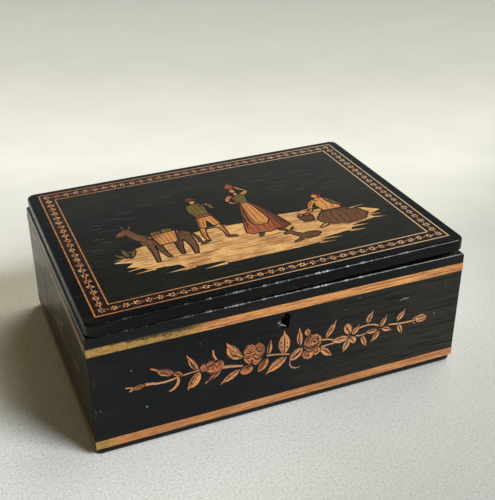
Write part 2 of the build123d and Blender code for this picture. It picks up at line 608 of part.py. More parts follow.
def piper():
    """A man in a green jacket who stands and plays a pipe."""
    return [
        ("brown", petal((-20.4, 34.2), 11.0, 2.8, 8) + petal((-21.0, 36.4), 5.8, 5.4, 8)),
        ("brown", stem((-18.0, 29.8), (-5.6, 22.0), 0.2, 1.0, 1.8)),
        ("pale", petal((-20.0, 31.0), 5.2, 6.6, -8)),
        ("pale", petal((-11.4, 24.2), 4.4, 3.8, 40)),
        ("green", stem((-8.6, 15.6), (-11.2, 23.0), 0.6, 3.4, 2.6)),
        ("green", stem((-15.2, 25.0), (-8.6, 16.4), 1.4, 4.4, 3.6)),
        ("green", outline([
            (-27, 25), (-22, 28.4), (-17.5, 28), (-13.8, 23.5), (-14.8, 9), (-26, 8.5), (-28.2, 16),
        ])),
        ("red", outline([(-26.2, 9), (-14.4, 9.5), (-14.2, 5.5), (-26.4, 5.0)])),
        ("pale", outline([
            (-26.4, 5.4), (-14.2, 5.8), (-12.2, -8), (-18.2, -10), (-20.4, -1), (-23.2, -11), (-29, -9),
        ])),
        ("brown", leaf((-16.4, -27.2), (-7.4, -29.6), 1.7, 1.3)),
        ("brown", leaf((-27.4, -28.2), (-35.0, -31.2), 1.3, 1.8)),
        ("pale", stem((-15.6, -8.4), (-14.3, -27.6), 1.0, 4.4, 1.6)),
        ("pale", stem((-26.4, -9.4), (-28.4, -29.6), -1.0, 4.4, 2.2)),
    ]


def water_carrier():
    """A woman who walks with a jar on her head, one hand on her hip."""
    return [
        ("red", outline([(11.9, 49.6), (16.3, 49.4), (15.4, 46.4), (12.9, 46.5)])),
        ("pale", stem((23.4, 34.4), (17.4, 43.4), 1.2, 2.8, 2.0)),
        ("red", petal((14.2, 43.4), 8.6, 7.6, 0)),
        ("pale", petal((13.6, 36.2), 5.0, 6.6, 0)),
        ("brown", petal((14.6, 37.4), 6.6, 6.8, 0)),
        ("pale", stem((14.0, 34.0), (14.0, 28.6), 0.1, 2.4, 4.0)),
        ("pale", stem((17.6, 28.4), (23.6, 34.8), -1.4, 4.6, 3.6)),
        ("pale", stem((4.4, 20.2), (10.6, 15.4), -0.9, 2.8, 2.0)),
        ("pale", stem((9.8, 28.6), (4.2, 20.4), -1.4, 4.6, 3.6)),
        ("green", outline([
            (9, 28.6), (13, 30.6), (18.6, 28.8), (19.4, 23.5), (17.6, 14.6), (10.4, 14.6), (8.4, 23),
        ])),
        ("pale", outline([
            (11.2, 14.8), (16.6, 14.8), (19.2, 3), (21.2, -15), (17.6, -21.6), (8.6, -21), (6.6, -15),
            (9, 3),
        ])),
        ("red", outline([
            (10.2, 14.8), (17.8, 14.8), (22.2, 5), (27.8, -12), (31.6, -29.5), (26, -32), (20, -31.4),
            (14, -33.6), (8, -31.8), (2.4, -32.6), (-1.4, -28.6), (2.6, -12), (6.8, 4),
        ])),
        ("brown", leaf((9.6, -31.2), (5.2, -37.6), 1.8, 1.6)),
        ("brown", leaf((19.8, -31.4), (25.8, -37.0), 1.7, 1.7)),
    ]


def basket_girl():
    """A girl who sits on the ground by a basket of fruit."""
    return [
        ("pale", petal((65.4, 3.2), 5.4, 6.8, 12)),
        ("red", petal((67.0, 4.2), 8.0, 9.0, 20)),
        ("green", leaf((70.6, 0.6), (79.6, -18.4), 1.4, 4.2)),
        ("pale", stem((54.8, -14.4), (49.2, -19.2), 0.6, 3.0, 2.0)),
        ("pale", stem((62.6, -3.0), (54.2, -14.2), -1.8, 5.0, 3.8)),
        ("pale", outline([
            (60.6, -3), (65, 0.6), (70.5, -0.6), (75.4, -9), (76, -20.4), (61.4, -20), (59.6, -11),
        ])),
        ("brown", outline([
            (61, -19), (75.8, -19.6), (84.2, -25), (89.4, -34.6), (84, -41.2), (70, -43.6), (58.4, -40.6),
            (52, -35.4), (51.4, -30), (56.4, -23.6),
        ])),
        ("pale", leaf((57.6, -38.0), (47.8, -43.2), 1.5, 2.2)),
        ("red", petal((43.2, -20.4), 4.6, 4.2, 0)),
        ("red", petal((47.8, -20.8), 4.8, 4.2, 0)),
        ("brown", outline([(39.6, -21.6), (51.2, -22), (49.4, -30.4), (41.8, -30)])),
    ]


def goat():
    """A small goat lying down, and a low bush at the other end of the ground."""
    return [
        ("brown", (
            petal((24.6, -39.6), 7.4, 3.8, 28)
            + leaf((26.4, -38.6), (31.4, -33.0), 0.8, 0.9)
            + stem((31.4, -46.6), (26.4, -39.0), 0.6, 5.4, 3.2)
            + petal((37.2, -48.2), 16.5, 7.8, 4)
            + stem((31.0, -50.0), (23.4, -53.4), 0.6, 2.6, 1.4)
        )),
        ("green", leaf((-84.6, -31.0), (-93.0, -20.6), 1.6, 1.9)),
        ("green", leaf((-83.4, -30.6), (-86.0, -15.8), 2.0, 2.1)),
        ("green", leaf((-82.4, -31.0), (-77.6, -18.8), 1.9, 1.8)),
    ]


def picture(size):
    """The picture's pieces by the colour of their wood, and the area they cover together.

    It is drawn for a panel 220.1 by 153.3; `size` scales it to the lid's own panel.
    """
    pieces = donkey() + piper() + water_carrier() + basket_girl() + goat()
    pieces.append(("ground", picture_ground()))
    seated, covered = lay([shape for _, shape in pieces], size)
    woods = {}
    for (wood, _), shape in zip(pieces, seated):
        woods.setdefault(wood, []).append(shape)
    return woods, covered


def link_plate_space():
    """The recess for the link plate in the lid's underside."""
    half = LINK_PLATE_L / 2
    y0 = BOLT_Y - LINK_PLATE_W / 2
    return block(LOCK_X - half, LOCK_X + half, y0, y0 + LINK_PLATE_W, -WALL, LINK_PLATE_T)


def link_plate():
    """The plate in the lid's underside with two staples, each with an eye for a hook's nose."""
    half = LINK_PLATE_L / 2
    y0 = BOLT_Y - LINK_PLATE_W / 2
    plate = block(LOCK_X - half, LOCK_X + half, y0, y0 + LINK_PLATE_W, 0, LINK_PLATE_T)
    under = RIM_Z + JOINT_GAP + (LOCK_X + CASE_W / 2) * sin(radians(LID_TILT))
    eye_top = RIM_Z - HOOK_DROP + NOSE_PLAY - under
    eye_low = RIM_Z - HOOK_DROP - HOOK_H - NOSE_PLAY - under
    eye_half = HOOK_T / 2 + NOSE_PLAY
    for x in STAPLE_XS:
        x0 = x - STAPLE_T / 2
        x1 = x0 + STAPLE_T
        staple = block(x0, x1, BOLT_Y - STAPLE_W / 2, BOLT_Y + STAPLE_W / 2, eye_low - EYE_LEG, 0)
        eye = block(x0, x1, BOLT_Y - eye_half, BOLT_Y + eye_half, eye_low, eye_top)
        plate += staple - eye
    return plate


# ---- Assembly ---------------------------------------------------------------------------------
def build():
    """Every node by name."""
    nodes = {}
    envelope = case_envelope()
    skin = facing_space()

    hinge_cuts = on_lid * back_bevel()
    for side in (-1, 1):
        hinge_cuts += on_lid * hinge_space(side * HINGE_X, CASE_LEAF_Z, WALL)
    front = (cross_board(FRONT_Y, 1) & envelope) - skin - lock_space() - keyhole(FRONT_Y, INNER_FRONT_Y)
    nodes["front_board"] = front
    nodes["back_board"] = (cross_board(BACK_Y, -1) & envelope) - skin - hinge_cuts
    nodes["left_board"] = (end_board(-1) & envelope) - skin
    nodes["right_board"] = (end_board(1) & envelope) - skin
    nodes["base_board"] = base_board()

    garland, garland_area = front_garland()
    end_pieces, end_area = end_garland()
    front_panel, left_panel, right_panel = facing(0, PANEL_Z, UPPER_BAND_Z)
    front_panel -= inlay(FRONT_FACE, [garland_area])
    nodes["front_veneer"] = front_panel - keyhole(FRONT_Y, INNER_FRONT_Y)
    nodes["left_veneer"] = left_panel - inlay(LEFT_FACE, [end_area])
    nodes["right_veneer"] = right_panel - inlay(RIGHT_FACE, [end_area])
    for height, z0 in (("upper", UPPER_BAND_Z), ("lower", LOWER_BAND_Z)):
        strips = facing(BAND_PROUD, z0, z0 + BAND_W)
        for where, strip in zip(("front", "left", "right"), strips):
            nodes[f"{where}_{height}_band"] = strip
    for kind, shapes in garland.items():
        nodes[f"front_spray_{kind}"] = group(inlay(FRONT_FACE, shapes))
    nodes["left_spray"] = group(inlay(LEFT_FACE, end_pieces))
    nodes["right_spray"] = group(inlay(RIGHT_FACE, end_pieces))

    nodes["lock_plate"] = lock_plate()
    nodes["lock_case"] = lock_case()
    nodes["lock_pin"] = lock_pin()
    nodes["lock_spring"] = lock_spring()
    nodes["lock_bolt"] = lock_bolt()

    hinge_xs = (-HINGE_X, HINGE_X)
    half = HINGE_L / 2
    nodes["hinge_case_leaves"] = group([on_lid * hinge_leaf(x, True) for x in hinge_xs])
    nodes["hinge_lid_leaves"] = group([on_lid * hinge_leaf(x, False) for x in hinge_xs])
    nodes["hinge_pins"] = group([on_lid * barrel(x - half, x + half, HINGE_PIN_R) for x in hinge_xs])

    nodes["lid_board"] = on_lid * lid_board()
    inset = 0.0
    for name, width in (
        ("lid_outer_stringing", STRINGING_W),
        ("lid_banding", BANDING_W),
        ("lid_inner_stringing", STRINGING_W),
    ):
        half_x = RECESS_HALF_X - inset
        half_y = RECESS_HALF_Y - inset
        strips = mitred_frame(INLAY_MIDDLE_Y, half_x, half_y, width, RECESS_Z, LID_T)
        nodes[name] = group([on_lid * strip for strip in strips])
        inset += width
    panel_w = 2 * (RECESS_HALF_X - inset)
    panel_d = 2 * (RECESS_HALF_Y - inset)
    woods, picture_area = picture(min(panel_w / 220.1, panel_d / 153.3))
    panel = Rectangle(panel_w, panel_d)
    panel = Pos(0, INLAY_MIDDLE_Y) * panel - picture_area
    in_recess = on_lid * Pos(0, 0, RECESS_Z)
    nodes["lid_veneer"] = in_recess * extrude(panel, amount=VENEER_T)
    for wood, shapes in woods.items():
        nodes[f"picture_{wood}"] = group([in_recess * extrude(shape, amount=VENEER_T) for shape in shapes])
    nodes["link_plate"] = on_lid * link_plate()
    return nodes


if __name__ == "__main__":
    os.makedirs("parts", exist_ok=True)
    for name, shape in build().items():
        export_step(shape, f"parts/{name}.step")
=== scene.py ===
"""Looks of the ebonised marquetry stationery box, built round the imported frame.

Blender works in metres; everything drawn here is in millimetres and is scaled by MM. Flat work is
drawn on a `Face`, which has its own axes: the lid's top, the front and the two ends.
"""

import json
import math
import random

import bmesh
import bpy
from mathutils import Matrix, Vector
from mathutils.kdtree import KDTree


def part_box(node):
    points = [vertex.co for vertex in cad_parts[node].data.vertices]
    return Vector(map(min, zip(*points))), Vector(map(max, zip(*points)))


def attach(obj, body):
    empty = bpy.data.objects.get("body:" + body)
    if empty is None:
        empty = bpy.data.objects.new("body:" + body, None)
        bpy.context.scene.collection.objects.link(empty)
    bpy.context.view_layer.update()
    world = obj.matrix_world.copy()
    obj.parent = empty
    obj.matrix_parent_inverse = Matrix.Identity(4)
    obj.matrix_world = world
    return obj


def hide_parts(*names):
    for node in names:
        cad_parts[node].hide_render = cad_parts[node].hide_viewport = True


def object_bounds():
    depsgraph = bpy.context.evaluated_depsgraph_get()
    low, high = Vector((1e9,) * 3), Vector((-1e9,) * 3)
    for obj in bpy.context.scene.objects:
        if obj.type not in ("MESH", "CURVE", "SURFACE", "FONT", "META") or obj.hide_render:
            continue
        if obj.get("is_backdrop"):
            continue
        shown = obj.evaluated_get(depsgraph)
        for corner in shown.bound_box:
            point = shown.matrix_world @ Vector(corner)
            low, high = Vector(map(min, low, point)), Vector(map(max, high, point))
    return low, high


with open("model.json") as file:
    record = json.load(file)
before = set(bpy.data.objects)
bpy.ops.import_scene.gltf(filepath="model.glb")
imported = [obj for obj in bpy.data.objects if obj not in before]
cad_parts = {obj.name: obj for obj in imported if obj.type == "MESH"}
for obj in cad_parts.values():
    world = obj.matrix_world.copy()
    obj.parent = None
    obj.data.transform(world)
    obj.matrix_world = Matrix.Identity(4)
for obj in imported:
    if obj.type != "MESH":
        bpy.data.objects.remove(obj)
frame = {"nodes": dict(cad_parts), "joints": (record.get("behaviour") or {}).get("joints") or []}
CAD_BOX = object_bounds()
NODES = frame["nodes"]
MM = 0.001

# ---- Camera ----
CAMERA_AT = (-197.4, -501.3, 370.7)
CAMERA_TURN = -22.57        # degrees, heading from straight along +Y
CAMERA_DROP = 29.16         # degrees below level
CAMERA_ROLL = -0.15
CAMERA_LENS = 61.41         # on Blender's 36 mm sensor, for a frame 495 by 500

# ---- Light ----
KEY_TURN = 47               # degrees, from +X towards -Y
KEY_HEIGHT = 40
KEY_ANGLE = 26              # apparent size of the lamp
KEY_STRENGTH = 3.25
WALL_TURN = -25             # a pale wall, right and a little behind, which gives light but no glint
WALL_HEIGHT = 50
WALL_ANGLE = 45
WALL_STRENGTH = 1.45
FILL = 0.15
BACKDROP_LOW = 0.50         # what polish mirrors of the backdrop near the floor
BACKDROP_HIGH = 0.03        # and above it
BACKDROP_EDGE = (0.36, 0.58)  # the rise of a mirrored ray over which the one turns into the other
FLOOR_SIZE = 6.0            # metres, from the middle to each side
FLOOR_TURN = -67            # degrees, from +X towards -Y: the way along which the floor's painted light and shade change
FLOOR_NEAR = 52.6           # and the way along which painted shade darkens it again, towards the front right
FLOOR_START = -400          # where the floor's ramp of tones starts and ends, along FLOOR_TURN
FLOOR_END = 1600

# ---- Places on the box ----
VENEER_T = 1.2
LID_EDGE_Y = -95.8          # the lid's front edge
LID_T = 8.6
RIM_Z = 88.2                # the top of the case
INNER_X = 121.2             # half the case's inner length, and 0.2 into the boards
INNER_Y = 85.95             # half its inner depth, and 0.2 into the boards
INNER_Z = 4.95              # just under its floor
FRONT_Y = -90.0             # what lies before this belongs to the front
LEFT_X = -130.0             # what lies beyond this is the face of the left end
BANDS_Z = 60.0              # between the upper and the lower bands
BAND_TOP_Z = 81.0           # the upper bands' upper edge
SMEAR_X = -78.0             # where the dark smear along that edge hangs lowest
BANDING_W = 9.3             # the strip that carries the stars
KEYHOLE = (-2.2, 70.2)      # on the front
HINGE_X = 90.0              # the middle of a hinge, from the middle of the box
HINGE_STEP = 10.0           # from a hinge's middle to its screws
HINGE_ROW_Y = 88.35         # the row of screws in the hinges
LEAF_DROPS = {"case": 2.2, "lid": 0.6}  # from the lid's underside down to each hinge leaf's face
LINK_ROW_Y = -89.15         # the row of screws in the link plate
LINK_STEP = 11.0            # from the keyhole to its screws
LOCK_PLATE_Y = -85.75       # the lock plate's face
LOCK_STEP = 23.0            # from the keyhole to the lock's screws
LOCK_ROW_Z = 71.2
LIFT = 0.03                 # how far drawn lines stand out of the wood
SINK = 0.06                 # how far they reach into it
STAR_R = 2.8
STAR_STEP = 7.15
DASH_L = 1.5
DASH_W = 0.45


# ---- Faces to draw on ----
class Face:
    """A flat face with its own X and Y axes, in millimetres."""

    def __init__(self, body, origin, across, up):
        self.body = body
        self.origin = Vector(origin)
        self.across = Vector(across).normalized()
        self.up = Vector(up).normalized()
        self.out = self.across.cross(self.up)

    def at(self, x, y, lift):
        """The point in space, in metres, of a drawn point."""
        return self.origin + (self.across * x + self.up * y + self.out * lift) * MM

    def drawn(self, point):
        """The drawn X and Y of a point in space."""
        offset = (Vector(point) - self.origin) / MM
        return offset.dot(self.across), offset.dot(self.up)


def lid_face():
    """The lid's top, drawn from the middle of the case; its tilt is that of the hinge's axis."""
    axis = next(joint["axis"] for joint in frame["joints"] if joint["name"] == "lid_hinge")
    across = -Vector(axis)
    back = Vector((0, 1, 0))
    low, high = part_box("lid_veneer")
    middle = (low + high) / 2
    top = middle + across.cross(back) * VENEER_T / 2 * MM
    return Face("lid", top - back * middle.y, across, back)


def case_face(node, across):
    """The outer face of one of the case's veneers, drawn from the middle of its foot."""
    low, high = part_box(node)
    out = Vector(across).cross(Vector((0, 0, 1)))
    x = (low.x + high.x) / 2 if out.x == 0 else (high.x if out.x > 0 else low.x)
    y = 0.0 if out.y == 0 else low.y
    return Face("case", (x, y, 0), across, (0, 0, 1))


LID = lid_face()
FRONT = case_face("front_veneer", (1, 0, 0))
LEFT = case_face("left_veneer", (0, -1, 0))
RIGHT = case_face("right_veneer", (0, 1, 0))


# ---- Shader nodes ----
def colour(tone):
    """A linear colour from the 0 to 255 values in which it is usually written."""
    def linear(value):
        value /= 255
        return value / 12.92 if value <= 0.04045 else ((value + 0.055) / 1.055) ** 2.4
    return (*map(linear, tone), 1.0)


class Nodes:
    """Short ways to add nodes to a material or to the world."""

    def __init__(self, owner):
        owner.use_nodes = True
        self.tree = owner.node_tree

    def give(self, socket, value):
        """Joins an output to a socket, or sets the socket to a plain value."""
        if isinstance(value, bpy.types.NodeSocket):
            self.tree.links.new(value, socket)
        else:
            socket.default_value = value

    def add(self, kind, result, inputs, **settings):
        """One of a new node's outputs, after its settings and inputs are given."""
        node = self.tree.nodes.new(f"ShaderNode{kind}")
        for name, value in settings.items():
            setattr(node, name, value)
        for name, value in inputs.items():
            self.give(node.inputs[name], value)
        return node.outputs[result]

    def parts(self, vector):
        """The X, Y and Z of a vector."""
        return self.add("SeparateXYZ", "X", {0: vector}).node.outputs[:]

    def joined(self, x, y, z=0.0):
        """A vector from its three parts."""
        return self.add("CombineXYZ", 0, {0: x, 1: y, 2: z})

    def sum(self, operation, first, second=0.0):
        """One Math node."""
        return self.add("Math", 0, {0: first, 1: second}, operation=operation)

    def plus(self, first, second):
        return self.sum("ADD", first, second)

    def minus(self, first, second):
        return self.sum("SUBTRACT", first, second)

    def times(self, first, second):
        return self.sum("MULTIPLY", first, second)

    def span(self, value, low, high, start=0.0, end=1.0, curve="SMOOTHSTEP"):
        """A step from `start` at `low` to `end` at `high`, smooth unless `curve` is LINEAR."""
        limits = {"Value": value, "From Min": low, "From Max": high, "To Min": start, "To Max": end}
        return self.add("MapRange", "Result", limits, interpolation_type=curve)


class Paint(Nodes):
    """A material on the Principled shader."""

    def __init__(self, name, roughness, ior=1.5, metal=0.0):
        self.material = bpy.data.materials.new(name)
        super().__init__(self.material)
        self.shader = self.tree.nodes["Principled BSDF"]
        self.shader.inputs["Roughness"].default_value = roughness
        self.shader.inputs["IOR"].default_value = ior
        self.shader.inputs["Metallic"].default_value = metal

    def place(self, scale=(1, 1, 1), turn=(0, 0, 0), shift=(0, 0, 0)):
        """Object coordinates in millimetres, scaled, turned and shifted."""
        source = self.add("TexCoord", "Object", {})
        scale = [s / MM for s in scale]
        changes = {"Vector": source, "Location": shift, "Rotation": turn, "Scale": scale}
        return self.add("Mapping", "Vector", changes)

    def on(self, face):
        """X, Y and height on a face, in millimetres."""
        turn = Matrix((face.across, face.up, face.out))
        return self.parts(self.place(turn=turn.to_euler(), shift=-(turn @ face.origin) / MM))

    def along(self, angle):
        """The distance in a level direction, at an angle from +X towards -Y."""
        return self.parts(self.place(turn=(0, 0, math.radians(angle))))[0]

    def noise(self, where, detail, roughness, scale=1.0):
        """Noise between 0 and 1; `where` is a vector, or its scale along X, Y and Z."""
        vector = where if isinstance(where, bpy.types.NodeSocket) else self.place(where)
        looks = {"Vector": vector, "Scale": scale, "Detail": detail, "Roughness": roughness}
        return self.add("TexNoise", "Fac", looks)

    def mix(self, share, first, second):
        """A blend of two tones, each an output or 0 to 255 values."""
        tones = [t if isinstance(t, bpy.types.NodeSocket) else colour(t) for t in (first, second)]
        blend = {"Factor": share, "A": tones[0], "B": tones[1]}
        return self.add("Mix", "Result", blend, data_type="RGBA")

    def now(self, name):
        """The output that was last joined to a socket of the shader."""
        return self.shader.inputs[name].links[0].from_socket

    def colour(self, value):
        self.give(self.shader.inputs["Base Color"], value)

    def coat(self, share, tone):
        """Lays a tone over the colour so far, as thickly as `share` says."""
        self.colour(self.mix(share, self.now("Base Color"), tone))

    def roughness(self, value):
        self.give(self.shader.inputs["Roughness"], value)

    def bump(self, height, strength, depth):
        """Relief of `depth` millimetres."""
        relief = {"Strength": strength, "Distance": depth * MM, "Height": height}
        self.give(self.shader.inputs["Normal"], self.add("Bump", "Normal", relief))


# ---- Materials ----
def black_polish(
    name, grain, deep=(4, 9, 13), clear=(13, 17, 18), relief=0.14, right_sheen=0.0, dull=0.0, ior=1.3,
):
    """Pearwood stained black under old French polish, with a painted sheen of lighter streaks that grows
    towards the right end.

    `grain` is the scale along X, Y and Z, and `dull` is added to the polish's roughness.
    """
    paint = Paint(name, roughness=0.26, ior=ior)
    streaks = paint.noise(grain, 5, 0.6)
    hairs = paint.noise([2.2 * scale for scale in grain], 3, 0.7)
    cloud = paint.noise((0.02, 0.03, 0.05), 3, 0.5)
    specks = paint.noise((0.35, 0.35, 0.35), 2, 0.4)
    # the default deep and clear tones carry a blue cast that is a painted reflection of cool light
    paint.colour(paint.mix(cloud, deep, clear))
    brown = paint.span(paint.plus(cloud, paint.times(streaks, 0.3)), 0.66, 0.9)
    paint.coat(paint.times(brown, 0.4), (40, 28, 20))
    x, _, _ = paint.parts(paint.place())
    # painted sheen: lighter streaks, more of them towards the right end
    sheen_streaks = paint.times(paint.span(x, -60, 130, 0, right_sheen), paint.span(streaks, 0.3, 0.6))
    paint.coat(sheen_streaks, (66, 62, 55))
    paint.coat(paint.span(hairs, 0.6, 0.76, 0, 0.6), (60, 62, 58))
    paint.coat(paint.span(specks, 0.74, 0.82), (66, 60, 50))
    paint.roughness(paint.span(streaks, 0.3, 0.75, 0.16 + dull, 0.36 + dull))
    paint.bump(paint.plus(streaks, paint.times(specks, 0.3)), 0.4, relief)
    return paint


def edge_chips_and_glints(paint, along, off, start):
    """Pale flecks of broken varnish along an edge, painted as highlights for its glints, most of all right
    of `start`.

    `along` is the X along the edge and `off` is the distance from it.
    """
    ragged = paint.noise(paint.joined(along, off), 6, 0.85, 0.9)
    clusters = paint.noise(paint.joined(along, 0.0), 2, 0.5, 0.07)
    spread = paint.span(along, start - 60, start + 50, 0.02, 0.12)
    spread = paint.minus(spread, paint.span(along, 60, 120, 0, 0.09))
    spread = paint.plus(spread, paint.span(clusters, 0.35, 0.62, -0.08, 0.11))
    patch = paint.span(paint.plus(ragged, spread), 0.62, 0.74)
    near = paint.span(paint.plus(off, ragged), 1.35, 1.75, 1, 0)
    chips_and_glints = paint.times(patch, near)
    glint = paint.noise(paint.joined(along, off, 9.0), 4, 0.8, 0.55)
    # painted highlight: flecks from slate blue to near white stand for glints on broken varnish
    pale = paint.mix(paint.span(glint, 0.42, 0.6), (84, 102, 114), (226, 234, 240))
    paint.coat(paint.times(chips_and_glints, 0.9), pale)


def bare_wood(paint, grain, bare):
    """Where `bare` is 1, unpolished old wood with open grain and brown stains."""
    lines = paint.noise(grain, 6, 0.68)
    stain = paint.noise((0.025, 0.025, 0.04), 4, 0.6)
    wood = paint.mix(paint.span(lines, 0.34, 0.62), (112, 74, 44), (184, 140, 94))
    wood = paint.mix(paint.span(stain, 0.5, 0.75, 0, 0.35), wood, (84, 56, 36))
    paint.coat(bare, wood)
    paint.roughness(paint.span(bare, 0, 1, paint.now("Roughness"), 0.75))


def lid_black():
    """Black polish on the lid's board, with bare wood on its underside."""
    paint = black_polish("lid_black", (0.02, 0.5, 0.5), (3, 5, 6), (10, 11, 10), ior=1.25)
    x, y, height = paint.on(LID)
    # painted highlight along the lid's top front edge
    edge_chips_and_glints(paint, x, paint.minus(paint.minus(y, LID_EDGE_Y), height), -40)
    _, _, up = paint.parts(paint.add("TexCoord", "Normal", {}))
    bare_wood(paint, (0.03, 0.9, 0.9), paint.sum("LESS_THAN", up, -0.9))
    return paint.material


def board_black(name, grain, inside=(0.03, 0.03, 0.9)):
    """Black polish on a board of the case, with bare wood inside the box and under it."""
    paint = black_polish(name, grain)
    x, y, height = paint.on(FRONT)
    # painted highlight along the case's rim
    edge_chips_and_glints(paint, x, paint.minus(paint.minus(RIM_Z, y), height), -70)
    x, y, z = paint.parts(paint.place())
    inside_x = paint.sum("LESS_THAN", paint.sum("ABSOLUTE", x), INNER_X)
    inside_y = paint.sum("LESS_THAN", paint.sum("ABSOLUTE", y), INNER_Y)
    above = paint.sum("GREATER_THAN", z, INNER_Z)
    under = paint.sum("LESS_THAN", z, 0.05)
    bare = paint.sum("MAXIMUM", paint.times(paint.times(inside_x, inside_y), above), under)
    bare_wood(paint, inside, bare)
    return paint.material


def band_wood():
    """The light bands: straight red-brown grain, and old gilt paint at the front's left end."""
    paint = Paint("band_wood", roughness=0.4, ior=1.45)
    x, y, z = paint.parts(paint.place())
    grain = paint.noise((0.02, 0.02, 0.95), 5, 0.62)
    dashes = paint.noise((0.12, 0.12, 1.5), 3, 0.55)
    patch = paint.noise((0.03, 0.03, 0.1), 2, 0.5)
    paint.colour(paint.mix(paint.span(patch, 0.35, 0.65), (222, 152, 86), (238, 174, 104)))
    paint.coat(paint.span(grain, 0.44, 0.6, 0, 0.85), (168, 96, 54))
    paint.coat(paint.span(dashes, 0.54, 0.66, 0, 0.8), (122, 62, 34))
    upper = paint.sum("GREATER_THAN", z, BANDS_Z)
    lower = paint.sum("LESS_THAN", z, BANDS_Z)
    front = paint.sum("LESS_THAN", y, FRONT_Y)
    paint.coat(paint.times(lower, 0.3), (120, 70, 40))
    ragged = paint.noise((0.3, 0.3, 0.6), 4, 0.65)
    waver = paint.plus(x, paint.times(ragged, 26))
    long_repair = paint.times(paint.span(waver, -60, -34, 1, 0), upper)
    short_repair = paint.times(paint.span(waver, -108, -104, 1, 0), lower)
    repair = paint.times(paint.sum("MAXIMUM", long_repair, short_repair), front)
    dull = paint.noise((0.5, 0.5, 0.9), 4, 0.7)
    gilt = paint.mix(paint.span(dull, 0.3, 0.7), (186, 146, 70), (124, 94, 44))
    paint.coat(paint.times(repair, 0.92), gilt)
    bulge = paint.span(paint.sum("ABSOLUTE", paint.minus(x, SMEAR_X)), 6, 40, 2.6, 0.7)
    depth = paint.times(bulge, paint.span(ragged, 0.25, 0.7, 0.2, 1.5))
    smear = paint.span(paint.minus(z, paint.minus(BAND_TOP_Z, depth)), -0.5, 0.5)
    paint.coat(paint.times(paint.times(smear, repair), 0.9), (30, 30, 22))
    nick = paint.noise((0.5, 0.5, 0.9), 3, 0.55)
    paint.coat(paint.span(nick, 0.7, 0.76), (74, 44, 26))
    # painted shade: the bands on the left end are darkened, as that end stands in shade
    left_end_shade = paint.times(paint.sum("LESS_THAN", x, LEFT_X), 0.62)
    paint.coat(left_end_shade, (62, 46, 30))
    paint.bump(grain, 0.3, 0.1)
    return paint.material


def inlay_wood(name, light, dark, shade, vein, fade):
    """Inlay whose grain, sand-scorched edge and vein follow each piece's own long direction."""
    paint = Paint(name, roughness=0.45, ior=1.42)
    own_mm = paint.add("Attribute", "Vector", {}, attribute_name="piece_mm")
    own_share = paint.add("Attribute", "Vector", {}, attribute_name="piece_share")
    along, across, chance = paint.parts(own_mm)
    share_along, share_across, _ = paint.parts(own_share)
    own = paint.times(chance, 31)
    stretched = paint.joined(paint.times(along, 0.22), paint.times(across, 1.7), own)
    grain = paint.noise(stretched, 5, 0.62)
    blotch = paint.noise(paint.joined(along, across, own), 2, 0.5, 0.55)
    paint.colour(paint.mix(paint.span(grain, 0.34, 0.64), dark, light))
    paint.coat(paint.span(chance, 0, 1, 0, 0.25), dark)
    scorch = paint.span(paint.plus(share_across, blotch), 0.55, 1.35)
    paint.coat(paint.times(scorch, 0.75), shade)
    if vein:
        waver = paint.times(paint.minus(blotch, 0.5), 0.9)
        line = paint.sum("ABSOLUTE", paint.plus(across, waver))
        midrib = paint.span(line, 0.22, 0.42, 1, 0)
        within = paint.span(paint.sum("ABSOLUTE", share_along), 0.72, 0.9, 1, 0)
        slant = paint.plus(along, paint.times(line, -1.1))
        ticks = paint.span(paint.sum("SINE", paint.times(slant, 2.6)), 0.86, 0.98)
        ticks = paint.times(ticks, paint.span(blotch, 0.42, 0.55))
        mark = paint.times(paint.sum("MAXIMUM", midrib, ticks), within)
        paint.coat(paint.times(mark, vein), shade)
    x, _, _ = paint.parts(paint.place())
    paint.coat(paint.span(x, -100, 100, 0, fade), (236, 190, 140))
    paint.bump(grain, 0.25, 0.08)
    return paint.material


def ground_wood():
    """The picture's ground: pale wood with brown streaks and black slits along the lid."""
    paint = Paint("ground_wood", roughness=0.42, ior=1.42)
    streak = paint.noise((0.035, 0.45, 0), 6, 0.72)
    patch = paint.noise((0.05, 0.09, 0), 3, 0.5)
    dashes = paint.noise((0.16, 1.1, 0), 3, 0.6)
    paint.colour(paint.mix(paint.span(patch, 0.35, 0.7), (214, 168, 108), (182, 130, 78)))
    paint.coat(paint.span(dashes, 0.36, 0.46, 0.7, 0), (234, 200, 146))
    brown = paint.span(paint.plus(streak, paint.times(patch, 0.25)), 0.6, 0.74)
    paint.coat(paint.times(brown, 0.75), (136, 86, 50))
    paint.coat(paint.span(dashes, 0.6, 0.68, 0, 0.7), (124, 76, 44))
    slit = paint.noise((0.11, 0.85, 0), 2, 0.5)
    paint.coat(paint.span(slit, 0.7, 0.74, 0, 0.9), (44, 30, 22))
    paint.bump(streak, 0.25, 0.08)
    return paint.material


def plain_wood(name, light, dark, roughness=0.45, fade=0.0):
    """Small trim: stringing, stars and lines; `fade` pales it towards the right end."""
    paint = Paint(name, roughness=roughness, ior=1.42)
    grain = paint.noise((0.6, 0.6, 0.6), 4, 0.6)
    paint.colour(paint.mix(paint.span(grain, 0.3, 0.7), dark, light))
    x, _, _ = paint.parts(paint.place())
    paint.coat(paint.span(x, -110, 110, 0, fade), (226, 204, 168))
    paint.bump(grain, 0.2, 0.05)
    return paint.material


def aged_metal(name, clean, dull, roughness):
    """Brass or steel with tarnish in clouds."""
    paint = Paint(name, roughness=roughness, metal=1.0)
    cloud = paint.noise((0.12, 0.12, 0.12), 5, 0.65)
    paint.colour(paint.mix(paint.span(cloud, 0.4, 0.65), clean, dull))
    paint.roughness(paint.span(cloud, 0.35, 0.7, roughness, roughness + 0.25))
    paint.bump(paint.noise((1.5, 1.5, 1.5), 2, 0.5), 0.2, 0.05)
    return paint.material
